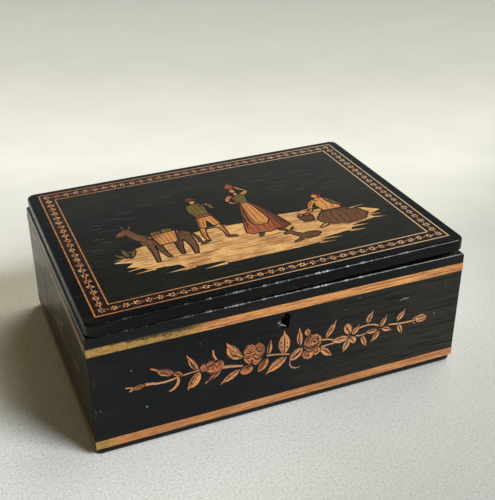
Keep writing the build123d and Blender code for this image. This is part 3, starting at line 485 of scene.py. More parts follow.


# A light tone, a dark tone, the shade of edges and veins, the veins' strength and how much it pales towards
# the right end.
INLAY_WOODS = {
    "rose": ((222, 142, 86), (170, 90, 50), (62, 27, 15), 0, 0.2),
    "leaf": ((236, 162, 102), (196, 114, 64), (62, 27, 15), 0.9, 0.3),
    # the left end's leaves: the leaf wood darkened as painted shade, since that end stands in shade
    "shaded_leaf": ((132, 92, 58), (98, 64, 40), (52, 32, 20), 0.9, 0),
    "stem": ((218, 156, 106), (178, 112, 72), (110, 62, 38), 0, 0.3),
    "pale": ((216, 154, 88), (184, 116, 62), (96, 52, 28), 0, 0),
    "red": ((176, 96, 60), (134, 68, 44), (60, 30, 22), 0, 0),
    "green": ((122, 104, 50), (84, 70, 36), (40, 34, 20), 0, 0),
    "brown": ((122, 82, 50), (78, 52, 32), (34, 22, 16), 0, 0),
}
# A light tone, a dark tone and, where they matter, the roughness and how much it pales towards the right
# end.
PLAIN_WOODS = {
    "stringing": ((190, 130, 80), (142, 88, 50), 0.45, 0.6),
    "kerf": ((34, 18, 11), (20, 11, 8), 0.5),
    "tip": ((218, 146, 92), (176, 104, 62)),
    "seam": ((62, 29, 16), (38, 18, 11), 0.5),
    "ink": ((48, 23, 14), (30, 15, 10), 0.5),
    "shade": ((128, 82, 48), (92, 56, 34), 0.5),
    # painted highlight: the pale bluish tone of glints on chipped varnish
    "chip_glint": ((170, 182, 188), (84, 92, 96), 0.3),
    "scuff": ((62, 62, 57), (38, 39, 36), 0.5),
    "scratch": ((88, 90, 84), (50, 52, 48), 0.5),
    "scorch": ((134, 72, 42), (104, 54, 32), 0.5),
    "star": ((226, 178, 132), (192, 132, 88), 0.45, 0.5),
    "star_dark": ((186, 118, 74), (146, 84, 52), 0.45, 0.25),
}
MATERIALS = {
    "front_black": board_black("front_black", (0.03, 0.6, 0.6)),
    "end_black": board_black("end_black", (0.6, 0.03, 0.6)),
    "base_black": board_black("base_black", (0.03, 0.6, 0.6), (0.02, 0.7, 0.7)),
    "lid_black": lid_black(),
    "lid_ground": black_polish(
        "lid_ground", (0.05, 0.75, 0.5), (9, 9, 4), (24, 23, 14), relief=0.34, right_sheen=0.2,
    ).material,
    "front_ground": black_polish("front_ground", (0.03, 0.6, 0.7), right_sheen=0.5, ior=1.27).material,
    "end_ground": black_polish(
        "end_ground", (0.6, 0.03, 0.7), (14, 10, 2), (30, 22, 6), dull=0.05, ior=1.25,
    ).material,
    "band": band_wood(),
    "banding": black_polish("banding", (0.3, 0.3, 0.3), (15, 11, 9), (38, 23, 15)).material,
    "ground": ground_wood(),
    **{name: inlay_wood(name, *looks) for name, looks in INLAY_WOODS.items()},
    **{name: plain_wood(name, *looks) for name, looks in PLAIN_WOODS.items()},
    "brass": aged_metal("brass", (196, 160, 92), (112, 82, 44), 0.3),
    "steel": aged_metal("steel", (150, 148, 142), (82, 70, 60), 0.35),
}


# ---- Pieces ----
def put(name, data):
    """A new object in the scene."""
    thing = bpy.data.objects.new(name, data)
    bpy.context.scene.collection.objects.link(thing)
    return thing


def cover(mesh, material):
    """Gives a mesh one material in place of those that it has."""
    mesh.materials.clear()
    mesh.materials.append(MATERIALS[material])


def add_piece(name, vertices, faces, body, material):
    """A mesh object that rides on a body."""
    mesh = bpy.data.meshes.new(name)
    mesh.from_pydata(vertices, [], faces)
    cover(mesh, material)
    outward = bmesh.new()
    outward.from_mesh(mesh)
    bmesh.ops.recalc_face_normals(outward, faces=outward.faces)
    outward.to_mesh(mesh)
    outward.free()
    piece = put(name, mesh)
    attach(piece, body)


class Tiles:
    """Many thin flat shapes on one face, collected into one piece."""

    def __init__(self, face, lift=LIFT):
        self.face = face
        self.lift = lift
        self.vertices = []
        self.faces = []

    def add(self, points):
        """A flat shape with straight sides, from its corners."""
        first = len(self.vertices)
        count = len(points)
        self.vertices += [self.face.at(x, y, self.lift) for x, y in points]
        self.vertices += [self.face.at(x, y, -SINK) for x, y in points]
        self.faces.append(tuple(range(first, first + count)))
        self.faces.append(tuple(reversed(range(first + count, first + 2 * count))))
        for i in range(count):
            j = (i + 1) % count
            self.faces.append((first + i, first + count + i, first + count + j, first + j))

    def stroke(self, points, width):
        """A line through a few points, curved and tapered at both ends."""
        path = smooth(points)
        total = len(path) - 1
        sides = []
        for i, (x, y) in enumerate(path):
            before = path[max(i - 1, 0)]
            after = path[min(i + 1, total)]
            run = math.hypot(after[0] - before[0], after[1] - before[1])
            taper = 0.35 + 0.65 * math.sin(math.pi * (i + 0.5) / (total + 1))
            half = width / 2 * taper
            nx = -(after[1] - before[1]) / run * half
            ny = (after[0] - before[0]) / run * half
            sides.append(((x + nx, y + ny), (x - nx, y - ny)))
        for (left, right), (next_left, next_right) in zip(sides, sides[1:]):
            self.add([left, right, next_right, next_left])

    def finish(self, name, slot, material):
        add_piece(name, self.vertices, self.faces, self.face.body, material)


def smooth(points, steps=4):
    """Points on a smooth curve through the given ones."""
    if len(points) < 3:
        return points
    ends = [points[0], *points, points[-1]]
    curve = []
    for i in range(1, len(ends) - 2):
        for step in range(steps):
            t = step / steps
            curve.append(tuple(
                0.5 * (2 * b + (c - a) * t + (2 * a - 5 * b + 4 * c - d) * t * t
                       + (3 * b - a - 3 * c + d) * t ** 3)
                for a, b, c, d in zip(*ends[i - 1:i + 3])
            ))
    return curve + [points[-1]]


# ---- Inlay ----
def islands(mesh):
    """The vertices of each separate piece in a mesh."""
    links = [[] for _ in mesh.vertices]
    for edge in mesh.edges:
        a, b = edge.vertices
        links[a].append(b)
        links[b].append(a)
    seen = set()
    for start in range(len(links)):
        if start in seen:
            continue
        seen.add(start)
        group = [start]
        for vertex in group:
            fresh = [n for n in links[vertex] if n not in seen]
            seen.update(fresh)
            group += fresh
        yield group


def long_direction(points):
    """The middle of some drawn points, and the angle of their longest spread."""
    x = sum(point[0] for point in points) / len(points)
    y = sum(point[1] for point in points) / len(points)
    xx = sum((point[0] - x) ** 2 for point in points)
    yy = sum((point[1] - y) ** 2 for point in points)
    xy = sum((point[0] - x) * (point[1] - y) for point in points)
    return (x, y), math.atan2(2 * xy, xx - yy) / 2


def weld(mesh):
    """A copy of a mesh in which pieces that touch share their edges."""
    welding = bmesh.new()
    welding.from_mesh(mesh)
    bmesh.ops.remove_doubles(welding, verts=welding.verts, dist=0.002 * MM)
    welded = bpy.data.meshes.new("welded")
    welding.to_mesh(welded)
    welding.free()
    return welded


def grain_facts(mesh, face, name):
    """For each vertex, where it is along and across its own piece, in millimetres and as shares."""
    facts = [None] * len(mesh.vertices)
    chance = random.Random(name)
    for group in islands(mesh):
        points = [face.drawn(mesh.vertices[v].co) for v in group]
        (x, y), angle = long_direction(points)
        turned = [
            ((px - x) * math.cos(angle) + (py - y) * math.sin(angle),
             (py - y) * math.cos(angle) - (px - x) * math.sin(angle))
            for px, py in points
        ]
        half_l = max(abs(point[0]) for point in turned)
        half_w = max(abs(point[1]) for point in turned)
        luck = chance.random()
        for vertex, (along, across) in zip(group, turned):
            facts[vertex] = (along, across, luck), (along / half_l, across / half_w, luck)
    return facts


def dress_inlay(node, face, material):
    """Replaces an inlay node by a copy whose pieces know their own long direction.

    Returns a welded copy of it.
    """
    mesh = NODES[node].data.copy()
    cover(mesh, material)
    welded = weld(mesh)
    facts = grain_facts(welded, face, node)
    places = KDTree(len(facts))
    for vertex in welded.vertices:
        places.insert(vertex.co, vertex.index)
    places.balance()
    in_mm = mesh.attributes.new("piece_mm", "FLOAT_VECTOR", "POINT")
    in_share = mesh.attributes.new("piece_share", "FLOAT_VECTOR", "POINT")
    for vertex in mesh.vertices:
        _, nearest, _ = places.find(vertex.co)
        in_mm.data[vertex.index].vector, in_share.data[vertex.index].vector = facts[nearest]
    piece = put(f"{node}_grained", mesh)
    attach(piece, face.body)
    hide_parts(node)
    return welded


def kerf_lines(name, meshes, face, width, material="seam", slot="stem_wood"):
    """The dark glue line just inside the outline of every piece of inlay."""
    lines = Tiles(face, lift=LIFT / 2)
    for mesh in meshes:
        tops = [p for p in mesh.polygons if p.normal.dot(face.out) > 0.99]
        uses = {}
        for polygon in tops:
            for key in polygon.edge_keys:
                uses.setdefault(key, []).append(polygon)
        for (a, b), polygons in uses.items():
            if len(polygons) > 1:
                continue
            ax, ay = face.drawn(mesh.vertices[a].co)
            bx, by = face.drawn(mesh.vertices[b].co)
            run = math.hypot(bx - ax, by - ay)
            if run < width:
                continue
            cx, cy = face.drawn(polygons[0].center)
            nx = -(by - ay) / run * width
            ny = (bx - ax) / run * width
            if (cx - ax) * nx + (cy - ay) * ny < 0:
                nx = -nx
                ny = -ny
            lines.add([(ax, ay), (bx, by), (bx + nx, by + ny), (ax + nx, ay + ny)])
    lines.finish(name, slot, material)


# ---- Stars of the lid's border ----
def star(tiles, x, y, turn, chance):
    """Six or eight kite-shaped rays round an open middle."""
    rays = chance.choice((6, 8, 8))
    for ray in range(rays):
        angle = turn + 2 * math.pi * ray / rays
        reach = STAR_R * (0.82 + 0.3 * chance.random())
        spread = math.pi / rays * 0.72
        tiles[chance.random() < 0.45].add([
            (x + reach * r * math.cos(angle + a), y + reach * r * math.sin(angle + a))
            for r, a in ((0.2, 0.0), (0.62, -spread), (1.0, 0.0), (0.62, spread))
        ])


def star_border():
    """Stars linked by dashes, along the middle of the banding."""
    low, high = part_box("lid_banding")
    back = high.y / MM
    front = low.y / MM
    outer = (high.x - low.x) / MM / 2
    inset = BANDING_W / 2
    tiles = [Tiles(LID), Tiles(LID)]
    chance = random.Random(7)
    across = (-outer + inset, outer - inset)
    deep = (front + inset, back - inset)
    rows = [(True, level) for level in deep] + [(False, level) for level in across]
    for along_x, level in rows:
        start, end = across if along_x else deep
        count = round((end - start) / STAR_STEP)
        step = (end - start) / count
        for i in range(count + 1):
            s = start + i * step
            corner = i in (0, count)
            if along_x or not corner:
                x, y = (s, level) if along_x else (level, s)
                star(tiles, x, y, chance.random(), chance)
            if i == count:
                continue
            a = s + step / 2 - DASH_L / 2
            b = a + DASH_L
            c = level - DASH_W / 2
            d = level + DASH_W / 2
            corners = [(a, c), (b, c), (b, d), (a, d)]
            tiles[0].add(corners if along_x else [(y, x) for x, y in corners])
    tiles[0].finish("border_stars_light", "stringing_wood", "star")
    tiles[1].finish("border_stars_dark", "stringing_wood", "star_dark")


# ---- Engraving ----
def engrave(name, face, slot, cuts, material="ink", lift=LIFT, weight=1.0):
    """Thin lines let into a face: cuts filled with mastic, scorch marks or scratches.

    Each of `cuts` is a width and the lines of that width, each as the points it passes through.
    """
    tiles = Tiles(face, lift)
    for width, *lines in cuts:
        for points in lines:
            tiles.stroke(points, width * weight)
    tiles.finish(name, slot, material)


def left_rose():
    """The full rose left of the keyhole, with its four outer petals."""
    return [
        (0.6, [(-31.2, 49.4), (-31, 53.2), (-28.6, 56), (-25.2, 56)],
         [(-31.4, 46.6), (-28.4, 46), (-25, 46.4), (-22.6, 48.6)],
         [(-23, 54.8), (-22, 51.2), (-20, 49), (-17.2, 50)],
         [(-23.6, 49.4), (-22.2, 47), (-19.8, 45.6), (-17.4, 46.8)],
         [(-24.6, 46), (-22.8, 43.6), (-20.2, 43.4), (-18.6, 45)],
         [(-29.6, 45.6), (-27.4, 43.4), (-26.4, 41.2)],
         [(-33, 37), (-30.4, 39), (-27.2, 39.4), (-25.4, 38.4)],
         [(-21.2, 34.2), (-19.4, 37.2), (-16.8, 40.2), (-14.8, 42.2)],
         [(-15.4, 42.6), (-16.6, 41), (-18.6, 40.4)]),
        (0.5, [(-29.8, 50.6), (-29.4, 53.6), (-27.2, 55), (-24.8, 54), (-24.4, 51.6)],
         [(-28.6, 50.4), (-28.2, 52.8), (-26.6, 53.4), (-25.8, 51.8)],
         [(-21.6, 55.6), (-20.6, 52.4), (-18.6, 51.2), (-17, 52.6)],
         [(-31, 45.2), (-29.6, 42.8), (-27.2, 41)],
         [(-24.8, 43.8), (-23.4, 41.4), (-21.4, 40.6), (-19.6, 42.2)],
         [(-31.4, 35.6), (-28.8, 37.2), (-26.2, 36.6)]),
        (0.8, [(-27.8, 51.2), (-27, 51.8)]),
        (0.7, [(-31.4, 48.2), (-29.4, 49.8), (-26.6, 49.6), (-24.2, 50.4), (-22.8, 52.2)],
         [(-25.2, 44.6), (-25.6, 42.2), (-24.4, 40.2)]),
        (0.9, [(-29, 38.6), (-27.8, 38)]),
        (0.4, [(-19.6, 34.6), (-17.4, 37.4), (-15.2, 39.4)]),
    ]


def rose_shade():
    """Sand-scorched wood where one petal lies behind the next."""
    return [
        (1.5, [(-31.4, 50.2), (-30.8, 53.6), (-28.6, 55.8)], [(-24, 45.2), (-21.8, 44.2), (-19.2, 44.4)],
         [(22, 46), (21.4, 43.8), (19, 43.2)]),
        (1.3, [(-27.4, 50.4), (-26.2, 51.2), (-25.6, 52.8)], [(-52.8, 45.2), (-51.8, 43.8)]),
        (1.6, [(-31.2, 47.4), (-28, 47.6), (-25, 47.6)], [(-23, 54.2), (-21.4, 50.4), (-18.4, 49.2)],
         [(-26, 44.4), (-25.4, 41.6)], [(-30.6, 38.6), (-27.8, 39.4), (-25.8, 38.6)],
         [(17.4, 47), (18.6, 46.4), (20.2, 46.6)], [(12, 39.6), (15.2, 38.8), (18.2, 39.4)]),
        (1.4, [(-20.4, 34.2), (-17.6, 37.4), (-15.4, 39.6)], [(12.6, 43.4), (16.6, 41.6), (21.4, 42.2)],
         [(14.2, 46.2), (14.6, 49.2), (17, 51.2)], [(18.8, 38.8), (19.2, 36.8)],
         [(-86.4, 51.4), (-83.4, 51.4), (-80.4, 50)]),
        (1.2, [(-56, 44.6), (-54.4, 46.8), (-52, 47.2)], [(-58.4, 47.2), (-57, 46.6)],
         [(-48.8, 46.2), (-46.8, 46.4)], [(-76.8, 47.8), (-74.2, 46.8)],
         [(43.6, 44.6), (45.2, 43.4), (45.8, 41.8)]),
        (1, [(67.4, 43.8), (68.6, 43)], [(3, 36.8), (6.4, 38.6), (9.4, 41.6)]),
        (0.9, [(-39.6, 50.8), (-36.6, 49.4)], [(-3.8, 44.4), (-2.7, 43.2)], [(-2.2, 39.6), (-4.6, 38.6)],
         [(7.4, 47.4), (8.2, 45.8)]),
    ]


def right_rose():
    """The round rose right of the keyhole, half open."""
    return [
        (0.9, [(18, 47.6), (19, 46.2), (19.8, 44.8)]),
        (0.7, [(16.6, 44.6), (16.8, 47.6), (18.4, 49), (20.4, 48), (20.8, 45.8)],
         [(11.4, 45.2), (13.4, 42.8), (17, 42.2), (20.8, 42.8), (24, 45)], [(12.4, 44.6), (12.8, 43.8)],
         [(14.2, 43.8), (14.6, 43)], [(16.2, 43.4), (16.4, 42.6)], [(20.6, 49), (21.4, 47.8), (21.6, 46.4)]),
        (0.5, [(15.2, 44.6), (15.4, 48.2), (17.8, 50.4), (20.8, 49.8), (22.2, 47), (21.4, 44.4)],
         [(13.4, 45), (13.6, 48.8), (16.4, 51.6), (20.4, 51.8), (23.2, 49.2)],
         [(12.4, 43.2), (15.6, 40.8), (19.4, 40.8), (22.8, 42.6)],
         [(15, 44.4), (17.4, 43.2), (20.6, 43.8), (23.4, 46)], [(11.4, 38.8), (13.2, 36.2), (15.8, 35.2)],
         [(12.6, 40.4), (15.4, 39.2), (18, 39.8)], [(19, 38.6), (21, 37), (23, 38.8)],
         [(12.8, 57), (13.8, 55), (13.8, 53)]),
        (0.8, [(13.6, 37.6), (14.8, 36.6), (15.4, 35.6)]),
        (0.6, [(20.2, 36.2), (21.4, 38.6), (21, 40.2)]),
        (0.4, [(14.8, 56.8), (14.6, 54.4)]),
    ]


def small_rose():
    """The tight little rose at the garland's left, and the bud beyond it."""
    return [
        (0.6, [(-56.2, 45), (-55.4, 47.4), (-53, 48.2), (-50.4, 46.8), (-50, 44.2)],
         [(-56.4, 44), (-54.4, 42.2), (-51.6, 41.8), (-49.6, 43.4)],
         [(-76.6, 47.4), (-74.6, 46.6), (-72.8, 45.6)]),
        (0.5, [(-55.2, 44.2), (-54.4, 46.4), (-52.4, 46.6), (-51.4, 44.8), (-52.6, 43)],
         [(-58.8, 48.6), (-57.4, 49.6), (-56.2, 48.4), (-57, 46.8), (-58.6, 46.4)],
         [(-60.2, 47), (-59, 45.2), (-57.2, 44.8)], [(-55, 49.4), (-53.8, 51.2), (-52, 51), (-51.6, 49.2)],
         [(-50.2, 48.8), (-48, 48.8), (-46, 47)], [(-49, 46.8), (-47.4, 46.8), (-46.2, 45.4)],
         [(-53.8, 41.6), (-51.4, 40.8), (-48.6, 42), (-46.8, 43.6)],
         [(-87.4, 51.6), (-84.6, 52.8), (-81.4, 52.2), (-78.6, 49.4)],
         [(-86.6, 49.6), (-84, 48.4), (-81.8, 47.8)], [(-77.6, 49.4), (-75.6, 48.6), (-73.6, 46.4)],
         [(-103, 44.6), (-100, 45.4), (-97.6, 46.2)]),
        (0.7, [(-53.6, 45.4), (-52.8, 44.6)], [(-87, 50.8), (-84, 50.4), (-81.4, 48.8), (-79, 48.4)]),
        (0.4, [(-102, 43.8), (-99.4, 44), (-97.6, 44.8)]),
        (0.8, [(-97.2, 46.8), (-96.6, 45.6)]),
    ]


def leaf_veins():
    """The midrib of each leaf and blossom petal of the front's garland."""
    return [
        (0.75, [(-40.8, 55.6), (-39.2, 52), (-35.4, 49.6), (-32.4, 48)],
         [(-44.8, 32.8), (-39.4, 36), (-34.8, 38.8)], [(-67.2, 55.4), (-65.2, 50.2), (-62, 47)],
         [(-68, 35.6), (-66, 39.4), (-62.8, 43.8)], [(-13.2, 53.2), (-13.8, 49), (-14, 45.8)],
         [(-2.7, 56.8), (-2.7, 50), (-2.7, 42.8)], [(-13.4, 32), (-8, 35.4), (-1.4, 39.2)],
         [(2, 37), (5.6, 39.2), (9.6, 42.6)], [(8.2, 56.6), (7.4, 51), (8.6, 45.8)],
         [(27.6, 47.4), (30.6, 52), (33.4, 57)], [(24.8, 38.4), (28, 36), (31, 32.8)],
         [(34.6, 42.6), (38.4, 43.2), (42.8, 42.6)], [(41.8, 52.2), (44, 48), (45.6, 45.2)],
         [(47.4, 44.6), (49.2, 46.8), (51, 49.2)], [(41.2, 33.4), (43.2, 38), (44.6, 41.4)],
         [(45.8, 42.2), (47.2, 40.2), (48.6, 37.6)], [(58.2, 50.4), (59.8, 54), (61.2, 57.2)],
         [(54.2, 41.2), (56, 37.4), (57.6, 33.2)], [(57.8, 42.8), (62, 43.4), (66.4, 42.6)],
         [(68.6, 45.2), (70.4, 48.6), (72, 51.4)], [(70, 43.4), (73.2, 42.2), (76, 40.8)],
         [(63.4, 35.6), (65.6, 38.6), (67.8, 41.4)], [(81.4, 46.6), (83.8, 49.8), (86.2, 52.8)],
         [(82.8, 42.8), (84.2, 39.4), (85.4, 35.8)], [(97.2, 45.2), (101, 44.6), (104.8, 45.6)],
         [(97.6, 42.4), (101.2, 42), (104.6, 43)], [(-54.4, 36.2), (-52, 38), (-49.4, 40)]),
    ]


def end_lines():
    """The veins of an end's leaves, and the petals of its rose, blossom and bud."""
    return [
        (0.75, [(-10.6, 45.2), (-14.6, 48.2), (-19.4, 51)], [(-11, 38.4), (-15.2, 35.8), (-19.8, 33.6)],
         [(10.2, 46.8), (13.6, 50.2), (17.8, 53.2)], [(10.6, 38.2), (14.4, 35.2), (18.4, 32.8)],
         [(34, 40.2), (35.8, 37.6), (38, 34.8)], [(-42.4, 43.1), (-45.6, 43.4), (-48.8, 43.4)],
         [(-40.3, 45.4), (-41.2, 48.2), (-42.2, 50.8)], [(-39.9, 41.2), (-40.7, 38.4), (-41.2, 35.8)]),
        (0.5,
         [(-0.9, 44.6), (0.2, 45.6), (1.6, 44.9), (1.4, 43.3), (-0.4, 42.7), (-2.2, 43.8), (-2, 45.9),
          (0.2, 47.2)],
         [(0.2, 47.2), (2.8, 46.4), (3.9, 44), (3, 41.6)],
         [(-4.6, 41), (-4.9, 44.2), (-3.4, 47.2), (-0.6, 49)],
         [(-3.4, 40), (-0.4, 39), (3, 40), (4.9, 42.6)], [(2.2, 48.8), (4.6, 46.8), (5.4, 44.6)],
         [(-8, 36.2), (-6, 37.6), (-3.6, 37.2)], [(-7.2, 34.8), (-5.2, 35.4), (-3.4, 35.8)],
         [(7.2, 35.8), (5.2, 37.2), (2.8, 36.8)], [(6.6, 34.4), (4.6, 35), (2.8, 35.4)],
         [(51.8, 43.6), (55.2, 44.4), (58.6, 43.4)], [(52, 41.6), (55.4, 41), (58.6, 41.8)]),
    ]


def leaf_tips():
    """The leaves' drawn-out tips, each a triangle from the leaf's end."""
    tiles = Tiles(FRONT)
    for corners in (
        [(-3.6, 57.6), (-1.9, 57.6), (-3, 61.2)], [(-42.6, 59), (-40.4, 59.6), (-42.6, 62)],
        [(-13.2, 53.4), (-12, 53.6), (-12.2, 56.4)], [(7.2, 57), (8.8, 57), (7.6, 60.4)],
        [(-34.6, 48.6), (-32.6, 47.6), (-31.2, 49.4)], [(-14.6, 31.6), (-13.6, 31), (-16.4, 28.8)],
        [(-45.8, 33), (-44.8, 32.2), (-47.6, 30.6)], [(30.6, 33.8), (31.6, 33.6), (32.4, 30.2)],
        [(32.8, 56.8), (33.8, 56), (34.8, 59.6)], [(-68.6, 57.2), (-67, 57), (-69, 60.4)],
        [(60.4, 57.4), (61.6, 56.6), (62.2, 59.8)], [(71.8, 50.8), (72.6, 50.6), (73.4, 53.8)],
        [(85.6, 52.2), (86.6, 51.6), (87.4, 55)], [(50.4, 48.8), (51.4, 48.2), (52.2, 51.4)],
        [(-68.8, 36.4), (-67.6, 35), (-69.4, 33)], [(57, 33.8), (57.8, 34.2), (58.6, 31.2)],
        [(41, 33.6), (41.8, 33.2), (40.4, 31)], [(62.4, 36), (63.4, 35.4), (61.8, 33.2)],
        [(85, 36.4), (85.8, 36.8), (86.2, 33.8)], [(75.6, 41.6), (76, 40.2), (78.2, 39.6)],
    ):
        tiles.add(corners)
    tiles.finish("leaf_tips", "leaf_wood", "tip")


def leaf_ticks():
    """Short cuts beside the midribs of the larger leaves."""
    return [
        (0.7, [(-38.4, 54.8), (-37.8, 53.8)], [(-36.6, 53.2), (-36, 52.2)], [(-41.4, 51.8), (-40.8, 50.8)],
         [(-39.6, 50), (-38.8, 49.2)], [(-42, 35.8), (-41.2, 36.2)], [(-38.6, 34.2), (-38, 34.8)],
         [(-37.4, 37.8), (-36.8, 38)], [(-4.8, 52.4), (-4.8, 50.8)], [(-4.8, 49), (-4.8, 47.4)],
         [(-0.8, 51.4), (-0.8, 49.8)], [(-0.6, 48), (-0.8, 46.4)], [(-4, 45.8), (-3.6, 44.8)],
         [(-9.4, 36.8), (-8.4, 37.2)], [(-6.2, 38.4), (-5.2, 38.8)], [(-7.8, 33.8), (-6.8, 34.4)],
         [(-4.8, 35.4), (-4, 36)], [(29, 51.6), (29.4, 52.6)], [(31.4, 51.2), (31.8, 52.2)],
         [(36.6, 44.8), (38, 44.8)], [(36.8, 41.4), (38.4, 41.4)], [(42.2, 49.8), (42.8, 48.8)],
         [(58.8, 53.4), (59, 54.4)], [(60.4, 52.6), (60.8, 53.4)], [(-66.6, 52.4), (-66.2, 51.4)],
         [(-64.6, 51.8), (-64.2, 50.8)], [(-66.6, 37), (-66.2, 38)], [(-64, 39.8), (-63.4, 40.8)],
         [(3.6, 40.2), (4.6, 40.6)], [(6.4, 38.4), (7.2, 39.2)], [(65, 38.8), (65.4, 39.6)]),
    ]


def animals():
    """Eyes, mane, hooves and basket weave of the donkey, and the goat's marks."""
    weave = [[(-62.4 + 0.5 * i, -8.6 - 3 * i), (-46 - 0.3 * i, -7.8 - 3 * i)] for i in range(5)]
    staves = [[(-60.4 + 3.2 * i, -6.4), (-58.8 + 2.6 * i, -20.6)] for i in range(5)]
    mane = [[(-75.6 + 1.7 * i, 7.6 - 2.3 * i), (-74.4 + 1.7 * i, 4.6 - 2.3 * i)] for i in range(6)]
    feet = ((-68.8, -39.6), (-60, -37.4), (-51, -36.6), (-43.2, -39.2))
    hooves = [[(x, y), (x + 2.6, y)] for x, y in feet]
    return [
        (0.4, *weave, *staves, [(34, -46), (36, -46.6)], [(33.4, -48), (35.2, -48.4)]),
        (0.5, *mane, *hooves, [(-84.6, 0.6), (-82.4, 1.2), (-81, 1)],
         [(-78.2, 0.8), (-76.4, 3.6), (-77, 7)], [(-77.2, 9.4), (-77.2, 16)], [(-74.8, 8.8), (-71.4, 15.4)],
         [(-68.4, -8), (-66.4, -12.6)], [(-43.4, -12), (-42, -17), (-42.4, -22)],
         [(-67.6, -22), (-67.2, -36)], [(-41.2, -26), (-41.6, -36.4)], [(-61.6, -22.4), (-59.4, -34)],
         [(-60.8, -2.4), (-58.2, -1.6), (-56, -3)], [(-53.2, -1), (-50, -0.4), (-47.6, -2.4)],
         [(-59.4, -4.2), (-57, -3.8)], [(-51.4, -3), (-48.8, -2.8)], [(21.4, -41.2), (23.4, -41)],
         [(26.4, -37), (30.4, -33.6)], [(27.6, -42), (29.8, -46), (30.6, -49.6)],
         [(33.6, -50.4), (36.6, -49), (38.6, -50.8)], [(38.6, -46.6), (42.6, -47), (44.4, -49)],
         [(-84.6, -30.4), (-91.4, -22)], [(-83.4, -29.8), (-85.8, -17.8)], [(-82.2, -30.2), (-78.6, -20.6)]),
        (0.9, [(-80.4, 5.4), (-79.6, 5.4)]),
        (0.6, [(-84.4, 2.2), (-83.8, 2)], [(-72, -9.4), (-69.2, -13.4), (-66.6, -18.6)],
         [(-45.6, -8.2), (-41.4, -11), (-39.4, -17), (-40, -23.4)]),
        (0.8, [(24.2, -39.2), (24.8, -39.2)]),
    ]


def man():
    """Folds and features of the piper."""
    return [
        (0.6, [(-24, 34.6), (-21, 33.8), (-18, 34.8)], [(-18.2, 26.4), (-17, 18.4), (-16.4, 9.8)],
         [(-24.8, 4.4), (-26.2, -1.4), (-27.6, -7.6)], [(-20.4, 4.6), (-20.4, 0)],
         [(-13.4, 26.6), (-12.8, 26)], [(-9.4, 24), (-8.8, 23.4)], [(-7.4, 22.8), (-6.8, 22.4)]),
        (0.7, [(-19.4, 31.8), (-18.8, 31.8)], [(-22, 32.6), (-22.4, 30.4), (-21.6, 28.8)],
         [(-28.6, -9.8), (-24.8, -11)], [(-17.8, -10), (-13.4, -8.6)]),
        (0.5, [(-19.2, 29.2), (-18.4, 29.4)], [(-23.8, 27.4), (-20.4, 25.8), (-17.4, 27.6)],
         [(-25.6, 23.6), (-23.6, 17), (-24.8, 10.2)], [(-22, 25.4), (-20.4, 17.6), (-21.4, 10)],
         [(-27.4, 17.6), (-26, 13), (-26.2, 9.8)], [(-15.6, 24.4), (-13, 21.8), (-10.6, 17.4)],
         [(-14, 24.8), (-12, 23.2)], [(-22.4, 4), (-23.2, -3), (-24.8, -9.2)],
         [(-17.4, 4.4), (-16.6, -2), (-15.4, -8)], [(-15.2, 4.4), (-14.2, -2), (-13.6, -7.2)],
         [(-27.6, -12), (-28.2, -18), (-27.6, -26.4)], [(-14.8, -11.4), (-14, -18), (-14.4, -25.6)],
         [(-29.6, -28.4), (-27.6, -29.6)], [(-15.4, -27.4), (-12.4, -28.4)]),
        (0.4, [(-26, 7.6), (-20.4, 7), (-14.6, 8.2)], [(-26, 6.2), (-20.4, 5.8), (-14.4, 6.8)]),
    ]


def woman():
    """Folds and features of the water carrier."""
    lacing = [[(12.8, 27.4 - 2.4 * i), (15, 26.2 - 2.4 * i)] for i in range(5)]
    return [
        (0.4, *lacing, [(12.4, 31.8), (15.6, 31.8)], [(6.6, 18), (9.4, 15.4)]),
        (0.5, [(10.8, 43.8), (14, 42.8), (17.6, 43.8)], [(11.4, 41.8), (14.2, 41), (17.2, 41.8)],
         [(12.6, 46.6), (15.6, 46.6)], [(12, 34.2), (12.8, 34)], [(14.8, 39.8), (17, 38), (17.2, 35.4)],
         [(10.2, 27.6), (11.4, 21), (11.2, 15.6)], [(17.6, 27.4), (16.6, 21), (16.6, 15.6)],
         [(8.4, 27.2), (6.4, 24.6), (5, 21.4)], [(6.4, 27), (4.6, 24.2)],
         [(19.6, 28.6), (22, 31), (22.8, 33.8)], [(12.2, 13.6), (10, 0), (9, -16)],
         [(13.6, 13.6), (13.4, -2), (12.6, -18.6)], [(15.2, 13.6), (16.6, 0), (17.4, -16.6)],
         [(8.2, -18.4), (13, -19.4), (18.2, -18.8)], [(6.2, -8), (2.4, -22)], [(26.6, -14), (29.8, -27.4)],
         [(17.2, -22.6), (16.8, -31)], [(9, -32.6), (6.4, -36.4)], [(20.6, -32.2), (24.4, -36)]),
        (0.7, [(12.4, 36.6), (13, 36.6)], [(9.6, 11), (5.4, -4), (1.4, -25.8)],
         [(18.8, 11), (23.4, -4), (28.4, -26.6)]),
        (0.6, [(13, 39.6), (15.6, 38.8), (16.4, 35.6)], [(3.4, 20.8), (5.6, 19.8)],
         [(21.8, 35), (24, 34.2)], [(8.6, 3), (4.6, -12), (4, -29.8)], [(20, 2), (24, -14), (24.6, -29.8)],
         [(21.8, -14), (20.8, -23), (19.8, -30)], [(8.2, -22.4), (8.6, -30.6)], [(13.4, -22.4), (14, -32)]),
    ]


